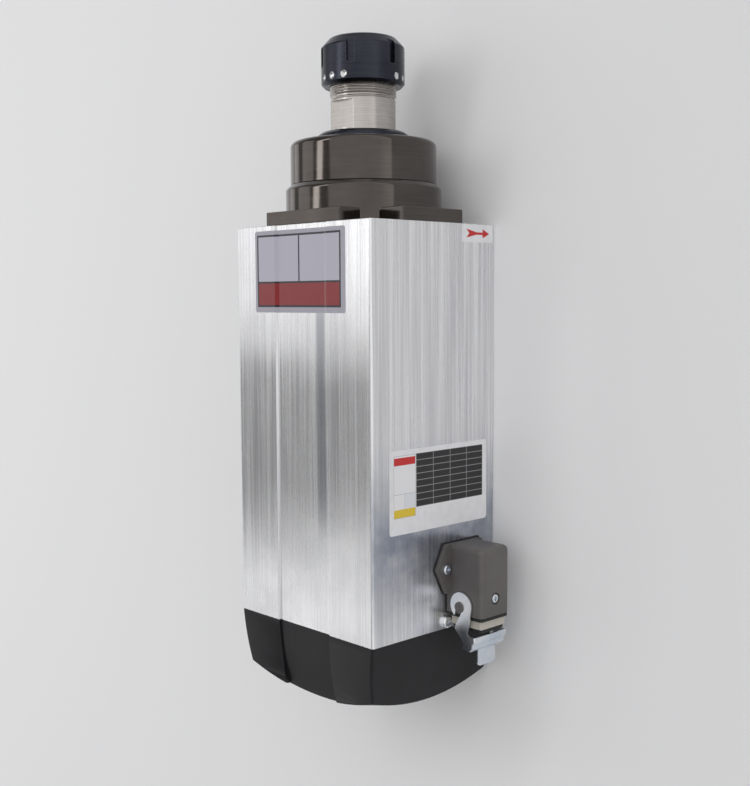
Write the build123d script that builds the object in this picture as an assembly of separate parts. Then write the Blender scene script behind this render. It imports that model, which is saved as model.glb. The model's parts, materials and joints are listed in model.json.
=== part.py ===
from build123d import *
import os
from math import pi, radians, sqrt, tan

# A square air-cooled motor spindle, lying along X with its nose towards -X.
# The origin is the mouth of the collet bore, on the spindle's axis. -Y is the mounting face.

# Casing, an aluminium extrusion
casing_depth = 120.0
casing_width = 102.0
casing_length = 238.0
casing_edge_radius = 1.5
band_width = 46.0
band_depth = 1.3
bore_side_wall = 5.0
sleeve_wall = 4.0
outer_wall = 4.0
channel_half_rib_y = 36.0
channel_half_rib_z = 28.0

# Nose, front to back
collet_stand_out = 1.0
nut_length = 28.5
thread_shown = 7.0
neck_shown = 20.0
dust_ring_width = 5.1
dust_ring_gap = 0.4
cap_length = 25.5
boss_length = 16.5
plate_thickness = 8.0
nut_radius = 25.0
nut_face_radius = 19.4
nut_chamfer_length = 5.6
thread_radius = 20.0
neck_radius = 19.5
neck_flat_gap = 1.5
neck_flats = 34.0
dust_ring_radius = 28.0
cap_radius = 44.0
boss_radius = 47.0
cap_round = 3.5
boss_chamfer = 3.0

# Flange plate, a cross with its corners cut back for the cooling air
plate_inset = 1.6
plate_tab_y = 66.0
plate_tab_z = 50.0

# Nut slots and spanner holes
nut_slot_count = 6
nut_slot_width = 5.0
nut_slot_depth = 2.0
nut_slot_length = 17.5
nut_hole_radius = 2.2
nut_hole_depth = 1.6
nut_hole_inset = 4.5
nut_hole_step = 20.0

# Collet with a 12 mm bore
collet_bore_radius = 6.0
collet_length = 40.0
collet_radius = 16.5
collet_rear_angle = 8.0
collet_front_angle = 30.0
collet_lip_length = 2.2
collet_lip_radius = 13.6
collet_groove_width = 2.4
collet_groove_radius = 12.4
collet_shoulder_radius = 14.2
collet_slot_count = 6
collet_slot_width = 1.0
collet_slot_end = 7.0
collet_slot_turn = 7.5

# Front bearings, a matched pair of 35 x 62 x 14
front_bearing_bore = 17.5
front_bearing_radius = 31.0
front_bearing_width = 14.0
bearing_spacer_width = 2.0
cap_spigot = 2.5
shield_spigot = 12.0
shield_lip = 4.0
lock_nut_width = 9.0
lock_nut_radius = 25.0

# Rear bearing, 25 x 52 x 15
rear_bearing_bore = 12.5
rear_bearing_radius = 26.0
rear_bearing_width = 15.0
ball_radius = 3.9
ball_pitch_share = 0.5
spring_width = 3.0
rear_plate_thickness = 4.0
rear_plate_spigot = 6.0
rear_plate_gap = 1.0
plate_margin = 9.0
rear_hub_radius = 33.0
rear_hub_length = 24.0
rear_shoulder = 4.0

# Motor
stator_from_front = 44.0
stator_length = 110.0
stator_inner_radius = 26.0
stator_slot_count = 24
stator_slot_depth = 12.0
stator_slot_width = 3.2
air_gap = 0.5
winding_length = 21.0
winding_inner_radius = 28.5
winding_gap = 5.0
winding_round = 3.0
rotor_shaft_radius = 16.5
rotor_end_ring = 8.0

# Fan and its cover
fan_side_gap = 11.0
fan_hub_radius = 14.0
fan_bore_radius = 10.0
fan_length = 18.0
fan_disc = 2.5
fan_blade_count = 11
fan_blade_thickness = 1.8
fan_from_plate = 4.0
cover_length = 45.0
cover_wall = 3.0
cover_side_taper = 7.0
cover_side_radius = 164.0
cover_band_radius = 129.0
cover_drop_y = 3.5
cover_drop_z = 2.4
cover_drop_corner = 5.4
cover_edge_radius = 1.6
cover_rim_radius = 0.8
cover_screw_edge = 13.0
cover_screw_sunk = 5.0
cover_post_radius = 4.8
grille_inner_radius = 13.0
grille_slot_width = 3.4
grille_bar_width = 2.8
grille_ring_count = 4
grille_rib_count = 6
grille_rib_width = 4.0

# Screws
screw_m5_radius = 2.5
screw_m4_radius = 2.0
screw_m3_radius = 1.5
cap_screw_count = 6
cap_screw_circle = 37.0
tab_screw_edge = 9.0
tab_screw_z = 19.0
side_screw_y = 28.5
side_screw_edge = 8.5
screw_grip = 12.0
screw_floor = 3.0
head_share = 1.7
pan_m4_head_radius = 3.5
pan_m4_head_height = 2.6
pan_m3_head_radius = 2.9
pan_m3_head_height = 2.0
head_gap = 0.3
cap_screw_sunk = 6.0
seat_gap = 0.02
thread_gap = 0.05
running_gap = 0.06

# Tapped holes of the mounting face
mount_hole_radius = 3.4
mount_hole_mouth = 4.3
mount_hole_flare = 0.5
mount_hole_depth = 14.0
mount_first_hole = 42.5
mount_hole_pitch = 61.5
mount_row_spacing = 38.0
lock_screw_from_front = 124.0
lock_screw_radius = 3.0
lock_screw_sunk = 2.0

# Plug housing on the +Y face
plug_offset_z = -20.5
plug_width = 25.0
plug_depth = 28.0
plug_length = 40.0
plug_from_rear = 11.0
plug_wall = 1.7
plug_edge_radius = 3.2
plug_gasket_thickness = 1.0
ear_thickness = 2.4
ear_span = 45.5
ear_length = 29.0
ear_shoulder = 30.8
ear_screw_spacing = 31.6
rim_seal_thickness = 2.2
insert_shown = 5.0
insert_length = 31.0
insert_wall = 2.0
socket_depth = 9.0
insert_gap = 0.1
insert_screw_from_rear = 10.0
insert_screw_sunk = 1.2
insert_screw_recess = 3.5
insert_screw_length = 6.0
insert_screw_head_radius = 2.6
housing_screw_length = 7.0
carrier_thickness = 2.6
carrier_chamfer = 1.0
contact_radius = 1.3
contact_set_back = 1.0
contact_spacing = 9.0
cable_hole_radius = 7.0
cable_hole_from_rear = 34.0
earth_screw_from_rear = 4.2
earth_screw_z = -8.0
earth_screw_length = 9.0
earth_screw_head_radius = 3.6

# Latch lever of the plug housing, a bent sheet with its outlines drawn from the peg
peg_radius = 3.2
peg_from_rear = 15.5
peg_height = 12.5
peg_length = 2.4
lever_thickness = 1.2
lever_side_gap = 0.5
lever_head_radius = 8.0
lever_head_place = (-1.0, 1.0)
lever_mouth_width = 4.3
lever_mouth_length = 7.2
lever_mouth_angle = -17.6
lever_bar_line = [(16.0, 11.9), (19.6, 11.6), (20.6, 10.4), (23.2, 10.1), (24.8, 8.6)]
lever_outer_line = [(0.0, 8.9), (6.0, 7.9), (14.6, 5.7), (16.0, 7.2)]
lever_inner_line = [(24.8, 3.4), (23.6, 2.4), (20.6, 3.2), (13.0, -3.8), (10.2, -2.7), (4.4, 0.8), (0.0, 3.0)]
lever_fold_radius = 0.9
lever_tab_width = 15.0
lever_tab_length = 9.8
lever_tab_round = 2.5

# Places along the axis
x_nut_front = collet_stand_out
x_nut_rear = x_nut_front + nut_length
x_thread_end = x_nut_rear + thread_shown
x_neck_end = x_thread_end + neck_shown
x_ring_rear = x_neck_end + dust_ring_width
x_cap_front = x_ring_rear + dust_ring_gap
x_cap_rear = x_cap_front + cap_length
x_boss_rear = x_cap_rear + boss_length
x_casing_front = x_boss_rear + plate_thickness
x_casing_rear = x_casing_front + casing_length
x_cover_rear = x_casing_rear + cover_length
x_pair_front = x_cap_rear + cap_spigot
x_second_bearing = x_pair_front + front_bearing_width + bearing_spacer_width
x_pair_rear = x_second_bearing + front_bearing_width
x_shield_rear = x_pair_rear + shield_lip
x_lock_nut_rear = x_pair_rear + lock_nut_width
x_stator_front = x_casing_front + stator_from_front
x_stator_rear = x_stator_front + stator_length
x_hub_front = x_casing_rear - rear_hub_length
x_spring_rear = x_casing_rear - rear_shoulder
x_rear_bearing_rear = x_spring_rear - spring_width
x_rear_bearing_front = x_rear_bearing_rear - rear_bearing_width
x_rear_plate_rear = x_casing_rear + rear_plate_thickness
x_fan_front = x_rear_plate_rear + fan_from_plate
x_fan_rear = x_fan_front + fan_length

# What follows the casing's sides
half_depth = casing_depth / 2
half_width = casing_width / 2
casing_bore_radius = half_width - bore_side_wall
winding_outer_radius = casing_bore_radius - winding_gap
fan_radius = half_width - fan_side_gap
cover_screw_y = half_depth - cover_screw_edge
tab_screw_y = half_depth - tab_screw_edge
side_screw_z = half_width - side_screw_edge


def turned(points):
    return revolve(make_face(Polyline(*points, close=True)), Axis.X)


def ring(x0, x1, outer, inner):
    return turned([(x0, inner), (x0, outer), (x1, outer), (x1, inner)])


def chamfered_ring(x0, x1, outer, inner, front=0.6, rear=0.6):
    points = [(x0, inner), (x0, outer - front), (x0 + front, outer), (x1 - rear, outer), (x1, outer - rear), (x1, inner)]
    return turned(points)


def prism(sketch, x0, x1):
    return extrude(Plane.YZ.offset(x0) * sketch, x1 - x0)


def rod(x0, x1, radius, y=0.0, z=0.0):
    return prism(Pos(y, z) * Circle(radius), x0, x1)


def around(count, start=0.0):
    return [start + 360 * i / count for i in range(count)]


def turn_x(angle):
    return Rot(X=angle)


def cross_sketch(across_y, across_z, tab_y, tab_z, radius):
    return Rectangle(tab_y, across_z) + Rectangle(across_y, tab_z) + Circle(radius)


def tab_screw_places():
    return [(y, z) for y in (-tab_screw_y, tab_screw_y) for z in (-tab_screw_z, tab_screw_z)]


def earth_screw_spot():
    return Plane(origin=(x_earth_screw, half_depth, earth_screw_z), x_dir=(1, 0, 0), z_dir=(0, 1, 0))


def cover_screw_places():
    return [(y, z) for y in (-cover_screw_y, cover_screw_y) for z in (-tab_screw_z, tab_screw_z)]


def side_screw_places():
    return [(y, z) for y in (-side_screw_y, side_screw_y) for z in (-side_screw_z, side_screw_z)]


def socket_screw(x_seat, length, radius, y, z):
    # Cap screw pointing towards +X, its head in front of x_seat
    head = rod(x_seat - 2 * radius, x_seat, head_share * radius, y, z)
    socket = prism(Pos(y, z) * RegularPolygon(radius, 6), x_seat - 2 * radius, x_seat - radius)
    return head + rod(x_seat, x_seat + length, radius, y, z) - socket


def pan_screw(height, length, radius, head_radius):
    # Cross-slot screw standing on the XY plane with its head up
    head = Cylinder(head_radius, height, align=(Align.CENTER, Align.CENTER, Align.MIN))
    head = fillet(head.edges().sort_by(Axis.Z)[-1], height * 0.6)
    shank = Cylinder(radius, length, align=(Align.CENTER, Align.CENTER, Align.MAX))
    slot_size = (head_radius * 1.2, radius * 0.5, height)
    slot = Pos(0, 0, height) * Box(*slot_size)
    return head + shank - slot - Rot(Z=90) * slot


def channel_sketch():
    # One corner air channel between the stator sleeve and the outer walls
    y1 = half_depth - outer_wall
    z1 = half_width - outer_wall
    size_y = y1 - channel_half_rib_y
    size_z = z1 - channel_half_rib_z
    corner = Pos(y1 - size_y / 2, z1 - size_z / 2) * Rectangle(size_y, size_z)
    return corner - Circle(casing_bore_radius + sleeve_wall)


def mount_hole_x(index):
    return x_casing_front + mount_first_hole + index * mount_hole_pitch


def blind_hole(x, z, radius, depth, mouth):
    # Tapped hole from the mounting face, with a countersunk mouth
    spot = Plane(origin=(x, -half_depth, z), x_dir=(1, 0, 0), z_dir=(0, -1, 0))
    bore = Cylinder(radius, depth, align=(Align.CENTER, Align.CENTER, Align.MAX))
    cone = Cone(radius, mouth, mount_hole_flare, align=(Align.CENTER, Align.CENTER, Align.MAX))
    return spot * (bore + cone)


def plug_plane(x, y, z_offset=0.0):
    # Local Z points out of the plug face, local X along the spindle
    return Plane(origin=(x, y, plug_offset_z + z_offset), x_dir=(1, 0, 0), z_dir=(0, 1, 0))


x_plug_rear = x_casing_rear - plug_from_rear
x_plug_front = x_plug_rear - plug_length
x_ear_middle = x_plug_front + ear_length / 2
y_plug_base = half_depth + plug_gasket_thickness
y_plug_top = half_depth + plug_depth
x_cable_hole = x_casing_rear - cable_hole_from_rear
x_peg = x_casing_rear - peg_from_rear
y_peg = half_depth + peg_height
x_insert_screw = x_plug_rear - insert_screw_from_rear
x_earth_screw = x_casing_rear - earth_screw_from_rear


def motor_casing():
    sketch = RectangleRounded(casing_depth, casing_width, casing_edge_radius)
    for side in (-1, 1):
        sketch -= Pos(0, side * half_width) * Rectangle(band_width, 2 * band_depth)
    sketch -= Circle(casing_bore_radius)
    channel = channel_sketch()
    sketch -= channel
    sketch -= mirror(channel, Plane.XZ)
    sketch -= mirror(channel, Plane.YZ)
    sketch -= mirror(mirror(channel, Plane.XZ), Plane.YZ)
    body = prism(sketch, x_casing_front, x_casing_rear)
    for index in range(3):
        for side in (-1, 1):
            z = side * mount_row_spacing / 2
            body -= blind_hole(mount_hole_x(index), z, mount_hole_radius, mount_hole_depth, mount_hole_mouth)
    for side in (-1, 1):
        z = side * mount_row_spacing / 2
        body -= blind_hole(x_casing_front + lock_screw_from_front, z, lock_screw_radius + thread_gap,
                           half_depth - casing_bore_radius / 2, lock_screw_radius + 0.6)
    drilled = screw_grip + 1
    for y, z in tab_screw_places():
        body -= rod(x_casing_front, x_casing_front + drilled, screw_m5_radius + thread_gap, y, z)
    for y, z in cover_screw_places():
        body -= rod(x_casing_rear - drilled, x_casing_rear, screw_m4_radius + thread_gap, y, z)
    for y, z in side_screw_places():
        body -= rod(x_casing_front, x_casing_front + drilled, screw_m4_radius + thread_gap, y, z)
        body -= rod(x_casing_rear - drilled, x_casing_rear, screw_m4_radius + thread_gap, y, z)
    passage_depth = half_depth - casing_bore_radius / 2
    body -= plug_plane(x_cable_hole, half_depth) * Cylinder(
        cable_hole_radius, passage_depth, align=(Align.CENTER, Align.CENTER, Align.MAX))
    for side in (-1, 1):
        spot = plug_plane(x_ear_middle, half_depth, side * ear_screw_spacing / 2)
        body -= spot * Cylinder(screw_m3_radius + thread_gap, 4 * outer_wall,
                                align=(Align.CENTER, Align.CENTER, Align.MAX))
    spot = earth_screw_spot()
    body -= spot * Cylinder(screw_m4_radius + thread_gap, 10, align=(Align.CENTER, Align.CENTER, Align.MAX))
    return body


def front_end_shield():
    # Cross plate, round boss and spigot in one turned and milled casting
    plate = prism(cross_sketch(casing_depth - 2 * plate_inset, casing_width - 2 * plate_inset,
                               plate_tab_y, plate_tab_z, boss_radius), x_boss_rear, x_casing_front)
    outline = [
        (x_cap_rear, front_bearing_radius + seat_gap),
        (x_cap_rear, boss_radius - boss_chamfer),
        (x_cap_rear + boss_chamfer, boss_radius),
        (x_boss_rear + 1, boss_radius),
        (x_boss_rear + 1, casing_bore_radius - seat_gap),
        (x_casing_front + shield_spigot, casing_bore_radius - seat_gap),
        (x_casing_front + shield_spigot, front_bearing_radius + 6),
        (x_shield_rear, front_bearing_radius + 4),
        (x_shield_rear, lock_nut_radius + 2),
        (x_pair_rear, lock_nut_radius + 2),
        (x_pair_rear, front_bearing_radius + seat_gap),
    ]
    body = plate + turned(outline)
    body -= rod(x_cap_rear, x_pair_rear, front_bearing_radius + seat_gap)
    body -= rod(x_pair_rear - 1, x_shield_rear + 1, lock_nut_radius + 2)
    for radius, places in ((screw_m5_radius, tab_screw_places()), (screw_m4_radius, side_screw_places())):
        for y, z in places:
            body -= rod(x_boss_rear, x_casing_front, radius + thread_gap, y, z)
            body -= rod(x_boss_rear, x_casing_front - screw_floor, head_share * radius + head_gap, y, z)
    for angle in around(cap_screw_count, 30):
        hole = rod(x_cap_rear, x_cap_rear + screw_grip + 1, screw_m5_radius + thread_gap, cap_screw_circle)
        body -= turn_x(angle) * hole
    return body


def end_shield_screws():
    seat = x_casing_front - screw_floor
    length = screw_floor + screw_grip
    tab_screws = [socket_screw(seat, length, screw_m5_radius, y, z) for y, z in tab_screw_places()]
    return tab_screws + [socket_screw(seat, length, screw_m4_radius, y, z) for y, z in side_screw_places()]


def front_bearing_cap():
    hub = dust_ring_hub_radius() + 2 * running_gap
    r = cap_radius
    profile = Polyline((x_cap_front, hub), (x_cap_front, r - cap_round))
    corner = RadiusArc((x_cap_front, r - cap_round), (x_cap_front + cap_round, r), cap_round)
    rest = Polyline((x_cap_front + cap_round, r), (x_cap_rear, r), (x_cap_rear, front_bearing_radius - seat_gap),
                    (x_pair_front, front_bearing_radius - seat_gap), (x_pair_front, front_bearing_radius - 4),
                    (x_cap_rear, front_bearing_radius - 6), (x_cap_rear, hub), (x_cap_front, hub))
    body = revolve(make_face([*profile.edges(), *corner.edges(), *rest.edges()]), Axis.X)
    for angle in around(cap_screw_count, 30):
        through = rod(x_cap_front, x_cap_rear, screw_m5_radius + thread_gap, cap_screw_circle)
        recess_radius = head_share * screw_m5_radius + head_gap
        recess = rod(x_cap_front, x_cap_front + cap_screw_sunk, recess_radius, cap_screw_circle)
        body -= turn_x(angle) * (through + recess)
    return body


def bearing_cap_screws():
    seat = x_cap_front + cap_screw_sunk
    length = x_cap_rear - seat + screw_grip
    screw = socket_screw(seat, length, screw_m5_radius, cap_screw_circle, 0)
    return [turn_x(angle) * screw for angle in around(cap_screw_count, 30)]


def dust_ring_hub_radius():
    return front_bearing_bore + 5.0


def dust_ring():
    hub = dust_ring_hub_radius()
    r = dust_ring_radius
    outline = [
        (x_neck_end, front_bearing_bore + seat_gap),
        (x_neck_end, r - 3),
        (x_neck_end + 1.5, r - 0.8),
        (x_neck_end + 2.6, r),
        (x_ring_rear, r),
        (x_ring_rear, hub),
        (x_pair_front, hub),
        (x_pair_front, front_bearing_bore + seat_gap),
    ]
    return turned(outline)


def taper_radius(x, gap):
    # Radius of the collet's rear cone at x, with a gap around it
    x_widest = collet_widest_x()
    return collet_radius - (x - x_widest) * tan(radians(collet_rear_angle)) + gap


def collet_widest_x():
    shoulder = collet_lip_length + collet_groove_width
    return shoulder + (collet_radius - collet_shoulder_radius) / tan(radians(collet_front_angle))


def x_shaft_front():
    return collet_widest_x() + 1.4


def spindle_shaft():
    front = x_shaft_front()
    taper_end = collet_length + 3
    drill = taper_radius(taper_end, running_gap)
    outline = [
        (front, taper_radius(front, running_gap)),
        (front, thread_radius - 1.2),
        (front + 1.2, thread_radius),
        (x_thread_end, thread_radius),
        (x_thread_end + 0.5, neck_radius),
        (x_neck_end, neck_radius),
        (x_neck_end, front_bearing_bore),
        (x_lock_nut_rear + 2, front_bearing_bore),
        (x_lock_nut_rear + 2, rotor_shaft_radius),
        (x_rear_bearing_front, rotor_shaft_radius),
        (x_rear_bearing_front, rear_bearing_bore),
        (x_spring_rear, rear_bearing_bore),
        (x_spring_rear, fan_bore_radius),
        (x_fan_rear - 0.5, fan_bore_radius),
        (x_fan_rear - 0.5, 0),
        (taper_end + 24, 0),
        (taper_end + 20, drill - 4),
        (taper_end, drill - 4),
        (taper_end, drill),
    ]
    body = turned(outline)
    flat_length = neck_shown - 2 * neck_flat_gap
    flat_x = x_thread_end + 0.5 + neck_flat_gap + flat_length / 2
    for side in (-1, 1):
        cutter = Box(flat_length, 3 * neck_radius, neck_radius, align=(Align.CENTER, Align.CENTER, Align.MIN))
        body -= Pos(flat_x, 0, 0) * Rot(X=90 - 90 * side) * Pos(0, 0, neck_flats / 2) * cutter
    body -= rod(x_fan_rear - 20, x_fan_rear, 3 + thread_gap)
    return body


def collet():
    shoulder = collet_lip_length + collet_groove_width
    widest = collet_widest_x()
    outline = [
        (0, collet_bore_radius),
        (0, collet_lip_radius - 1.2),
        (collet_lip_length * 0.8, collet_lip_radius),
        (collet_lip_length, collet_lip_radius),
        (collet_lip_length, collet_groove_radius),
        (shoulder, collet_groove_radius),
        (shoulder, collet_shoulder_radius),
        (widest, collet_radius),
        (collet_length, taper_radius(collet_length, 0)),
        (collet_length, collet_bore_radius),
    ]
    body = turned(outline)
    reach = collet_length - collet_slot_end
    for index, angle in enumerate(around(2 * collet_slot_count, collet_slot_turn)):
        x0 = 0 if index % 2 == 0 else collet_slot_end
        cutter = Box(reach, 2 * collet_radius, collet_slot_width, align=(Align.MIN, Align.MIN, Align.CENTER))
        body -= turn_x(angle) * Pos(x0, 0, 0) * cutter
    return body


def collet_nut():
    shoulder = collet_lip_length + collet_groove_width
    widest = collet_widest_x()
    groove_gap = 0.35
    cone_gap = 0.25
    full = x_nut_front + nut_chamfer_length
    outline = [
        (x_nut_front, collet_lip_radius + groove_gap),
        (x_nut_front, nut_face_radius),
        (x_nut_front + 0.6, nut_face_radius + 1.0),
        (full, nut_radius),
        (x_nut_rear - 1.6, nut_radius),
        (x_nut_rear, nut_radius - 1.6),
        (x_nut_rear, thread_radius + running_gap),
        (x_shaft_front() - 0.3, thread_radius + running_gap),
        (x_shaft_front() - 0.3, collet_radius + cone_gap),
        (widest, collet_radius + cone_gap),
        (shoulder, collet_shoulder_radius + cone_gap),
        (shoulder - 0.3, collet_groove_radius + groove_gap),
        (collet_lip_length + 0.3, collet_groove_radius + groove_gap),
        (collet_lip_length + 0.3, collet_lip_radius + groove_gap),
    ]
    body = turned(outline)
    floor = nut_radius - nut_slot_depth
    for angle in around(nut_slot_count):
        straight = nut_slot_length - nut_slot_width / 2
        flat = Pos(straight / 2, 0) * Rectangle(straight, nut_slot_width)
        end = Pos(straight, 0) * Circle(nut_slot_width / 2)
        face = Plane(origin=(x_nut_front, 0, floor), x_dir=(1, 0, 0), z_dir=(0, 0, 1))
        body -= turn_x(90 + angle) * extrude(face * (flat + end), 2 * nut_slot_depth)
    for land in around(3, 30):
        for step in (-1, 0, 1):
            hole = Cylinder(nut_hole_radius, 2 * nut_hole_depth)
            spot = Pos(x_nut_rear - nut_hole_inset, 0, nut_radius)
            body -= turn_x(90 + land + step * nut_hole_step) * spot * hole
    return body


def race_groove(x_middle, pitch_radius, radius):
    return revolve(Pos(x_middle, pitch_radius) * Circle(radius), Axis.X)


def pitch(bore, outer):
    return bore + (outer - bore) * ball_pitch_share


def outer_ring(x0, width, bore, outer):
    middle = pitch(bore, outer)
    blank = ring(x0, x0 + width, outer, middle + ball_radius * 0.5)
    return blank - race_groove(x0 + width / 2, middle, ball_radius + running_gap)


def inner_ring(x0, width, bore, outer):
    middle = pitch(bore, outer)
    blank = ring(x0, x0 + width, middle - ball_radius * 0.5, bore + seat_gap)
    return blank - race_groove(x0 + width / 2, middle, ball_radius + running_gap)


def ball_count(bore, outer):
    return int(2 * pi * pitch(bore, outer) / (2.9 * ball_radius))


def balls(x0, width, bore, outer):
    middle = pitch(bore, outer)
    ball = Pos(x0 + width / 2, middle, 0) * Sphere(ball_radius)
    return [turn_x(angle) * ball for angle in around(ball_count(bore, outer))]


def cage(x0, width, bore, outer):
    middle = pitch(bore, outer)
    half = ball_radius + 1.2
    half_wall = ball_radius * 0.28
    x_middle = x0 + width / 2
    body = ring(x_middle - half, x_middle + half, middle + half_wall, middle - half_wall)
    pocket = Pos(x_middle, 0, 0) * Rot(X=-90) * Cylinder(ball_radius + running_gap, 3 * middle,
                                                     align=(Align.CENTER, Align.CENTER, Align.MIN))
    for angle in around(ball_count(bore, outer)):
        body -= turn_x(angle) * pocket
    return body


def front_pair(maker):
    found = []
    for x0 in (x_pair_front, x_second_bearing):
        made = maker(x0, front_bearing_width, front_bearing_bore, front_bearing_radius)
        found += made if isinstance(made, list) else [made]
    return found


def rear_single(maker):
    return maker(x_rear_bearing_front, rear_bearing_width, rear_bearing_bore, rear_bearing_radius)


def bearing_outer_spacer():
    x0 = x_pair_front + front_bearing_width
    return ring(x0, x0 + bearing_spacer_width, front_bearing_radius - seat_gap, front_bearing_radius - 4)


def bearing_inner_spacer():
    x0 = x_pair_front + front_bearing_width
    return ring(x0, x0 + bearing_spacer_width, front_bearing_bore + 4, front_bearing_bore + seat_gap)


def bearing_lock_nut():
    body = chamfered_ring(x_pair_rear, x_lock_nut_rear, lock_nut_radius, front_bearing_bore + seat_gap)
    for angle in around(4, 45):
        slot = Pos(x_pair_rear + lock_nut_width / 2, lock_nut_radius, 0) * Box(lock_nut_width, 4, 5)
        body -= turn_x(angle) * slot
    return body


def stator_core():
    core = Circle(casing_bore_radius - seat_gap) - Circle(stator_inner_radius)
    tooth_face = stator_inner_radius - stator_slot_width / 2
    floor = stator_inner_radius + stator_slot_depth
    slot = Pos((tooth_face + floor) / 2, 0) * Rectangle(floor - tooth_face, stator_slot_width)
    for angle in around(stator_slot_count):
        core -= Rot(Z=angle) * slot
    return prism(core, x_stator_front, x_stator_rear)


def winding(x0, x1):
    middle = (winding_inner_radius + winding_outer_radius) / 2
    half = (winding_outer_radius - winding_inner_radius) / 2
    sketch = Pos((x0 + x1) / 2, middle) * RectangleRounded(x1 - x0, 2 * half, winding_round)
    return revolve(sketch, Axis.X)


def rotor_core():
    outer = stator_inner_radius - air_gap
    return ring(x_stator_front, x_stator_rear, outer, rotor_shaft_radius + seat_gap)


def rotor_end_rings():
    outer = stator_inner_radius - air_gap - 1
    inner = rotor_shaft_radius + 3
    front = chamfered_ring(x_stator_front - rotor_end_ring, x_stator_front, outer, inner, 1, 0.2)
    rear = chamfered_ring(x_stator_rear, x_stator_rear + rotor_end_ring, outer, inner, 0.2, 1)
    return [front, rear]


def rear_bearing_plate():
    inset_y = cover_wall + rear_plate_gap
    inset_z = cover_wall + band_depth + rear_plate_gap
    sketch = cross_sketch(casing_depth - 2 * inset_y, casing_width - 2 * inset_z,
                          2 * side_screw_y + plate_margin, 2 * tab_screw_z + plate_margin, rear_hub_radius)
    body = prism(sketch, x_casing_rear, x_rear_plate_rear)
    body += ring(x_casing_rear - rear_plate_spigot, x_casing_rear, casing_bore_radius - seat_gap, rear_bearing_radius)
    body += ring(x_hub_front, x_casing_rear, rear_hub_radius, rear_bearing_radius)
    body += ring(x_spring_rear, x_rear_plate_rear, rear_hub_radius, rear_bearing_bore + 4)
    body -= rod(x_hub_front, x_spring_rear, rear_bearing_radius + seat_gap)
    body -= rod(x_spring_rear, x_rear_plate_rear, rear_bearing_bore + 4)
    for y, z in side_screw_places() + cover_screw_places():
        body -= rod(x_casing_rear - rear_plate_spigot, x_rear_plate_rear, screw_m4_radius + thread_gap, y, z)
    return body - earth_screw_spot() * Cylinder(screw_m4_radius + thread_gap, 2 * earth_screw_length + 2)


def rear_plate_screws():
    found = []
    for y, z in side_screw_places():
        screw = socket_screw(-x_rear_plate_rear, rear_plate_thickness + screw_grip, screw_m4_radius, -y, z)
        found.append(Rot(Z=180) * screw)
    return found


def wave_spring():
    # Three thin leaves of the preload spring, drawn as one flat ring
    inner = rear_bearing_radius - 5
    return ring(x_rear_bearing_rear, x_spring_rear, rear_bearing_radius - 0.5, inner)


def cooling_fan():
    disc = ring(x_fan_front, x_fan_front + fan_disc, fan_radius, fan_bore_radius + seat_gap)
    hub = ring(x_fan_front, x_fan_rear, fan_hub_radius, fan_bore_radius + seat_gap)
    body = disc + hub
    start = (fan_hub_radius - 0.5, 0)
    middle = ((fan_hub_radius + fan_radius) / 2, -fan_radius * 0.09)
    end = (fan_radius - 0.5, -fan_radius * 0.02)
    vane = trace(ThreePointArc(start, middle, end), fan_blade_thickness)
    blade = prism(vane, x_fan_front + fan_disc / 2, x_fan_rear)
    for angle in around(fan_blade_count):
        body += turn_x(angle) * blade
    body -= rod(x_fan_front, x_fan_rear, fan_bore_radius + seat_gap)
    return body


def fan_washer():
    return ring(x_fan_rear, x_fan_rear + 1.6, fan_bore_radius + 1.5, 3 + thread_gap)


def fan_screw():
    head = prism(RegularPolygon(5.5, 6), x_fan_rear + 1.6, x_fan_rear + 5.6)
    return head + rod(x_fan_rear - 16, x_fan_rear + 1.6, 3)


def cover_rim_half(half):
    # Half height of the tapering sides where the domed end starts
    return half - (cover_length - cover_drop_y - cover_drop_z) * tan(radians(cover_side_taper))


def cover_end_x(y, z):
    # Place of the domed end, which drops along its sides and most at its corners
    across = (y / cover_rim_half(half_depth)) ** 2
    up = (z / cover_rim_half(half_width)) ** 2
    return x_cover_rear - cover_drop_y * across - cover_drop_z * up - cover_drop_corner * across * up


def cover_dome(inset):
    # All the room in front of the domed end, whose patch reaches past the cover's sides
    reach = 1.2
    half_y = reach * cover_rim_half(half_depth)
    half_z = reach * cover_rim_half(half_width)
    shares = ((-1, reach ** 2), (0, -reach ** 2), (1, reach ** 2))
    rows = []
    for side_y, across in shares:
        row = []
        for side_z, up in shares:
            drop = cover_drop_y * across + cover_drop_z * up + cover_drop_corner * across * up
            row.append((x_cover_rear - inset - drop, side_y * half_y, side_z * half_z))
        rows.append(row)
    return extrude(Face.make_bezier_surface(rows), 2 * cover_length, dir=(-1, 0, 0))


def cover_flat_sides(inset):
    # Outline seen from the grooved face, its sides tapering
    x_far = x_cover_rear + 2
    near = half_depth - inset
    far = near - (x_far - x_casing_rear) * tan(radians(cover_side_taper))
    outline = Polyline((x_casing_rear, near), (x_far, far), (x_far, -far), (x_casing_rear, -near), close=True)
    return extrude(make_face(outline), casing_width, both=True)


def cover_bowed_sides(half, radius):
    # Outline seen from the plug face, its sides running on from the casing and bending in
    x_far = x_cover_rear + 2
    run = x_far - x_casing_rear
    far = half - radius + sqrt(radius ** 2 - run ** 2)
    upper = RadiusArc((x_casing_rear, half), (x_far, far), radius)
    lower = RadiusArc((x_far, -far), (x_casing_rear, -half), radius)
    rest = [Line((x_far, far), (x_far, -far)), Line((x_casing_rear, -half), (x_casing_rear, half))]
    outline = make_face([upper.edge(), lower.edge(), *[line.edge() for line in rest]])
    return extrude(Plane.XZ * outline, casing_depth, both=True)


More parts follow.
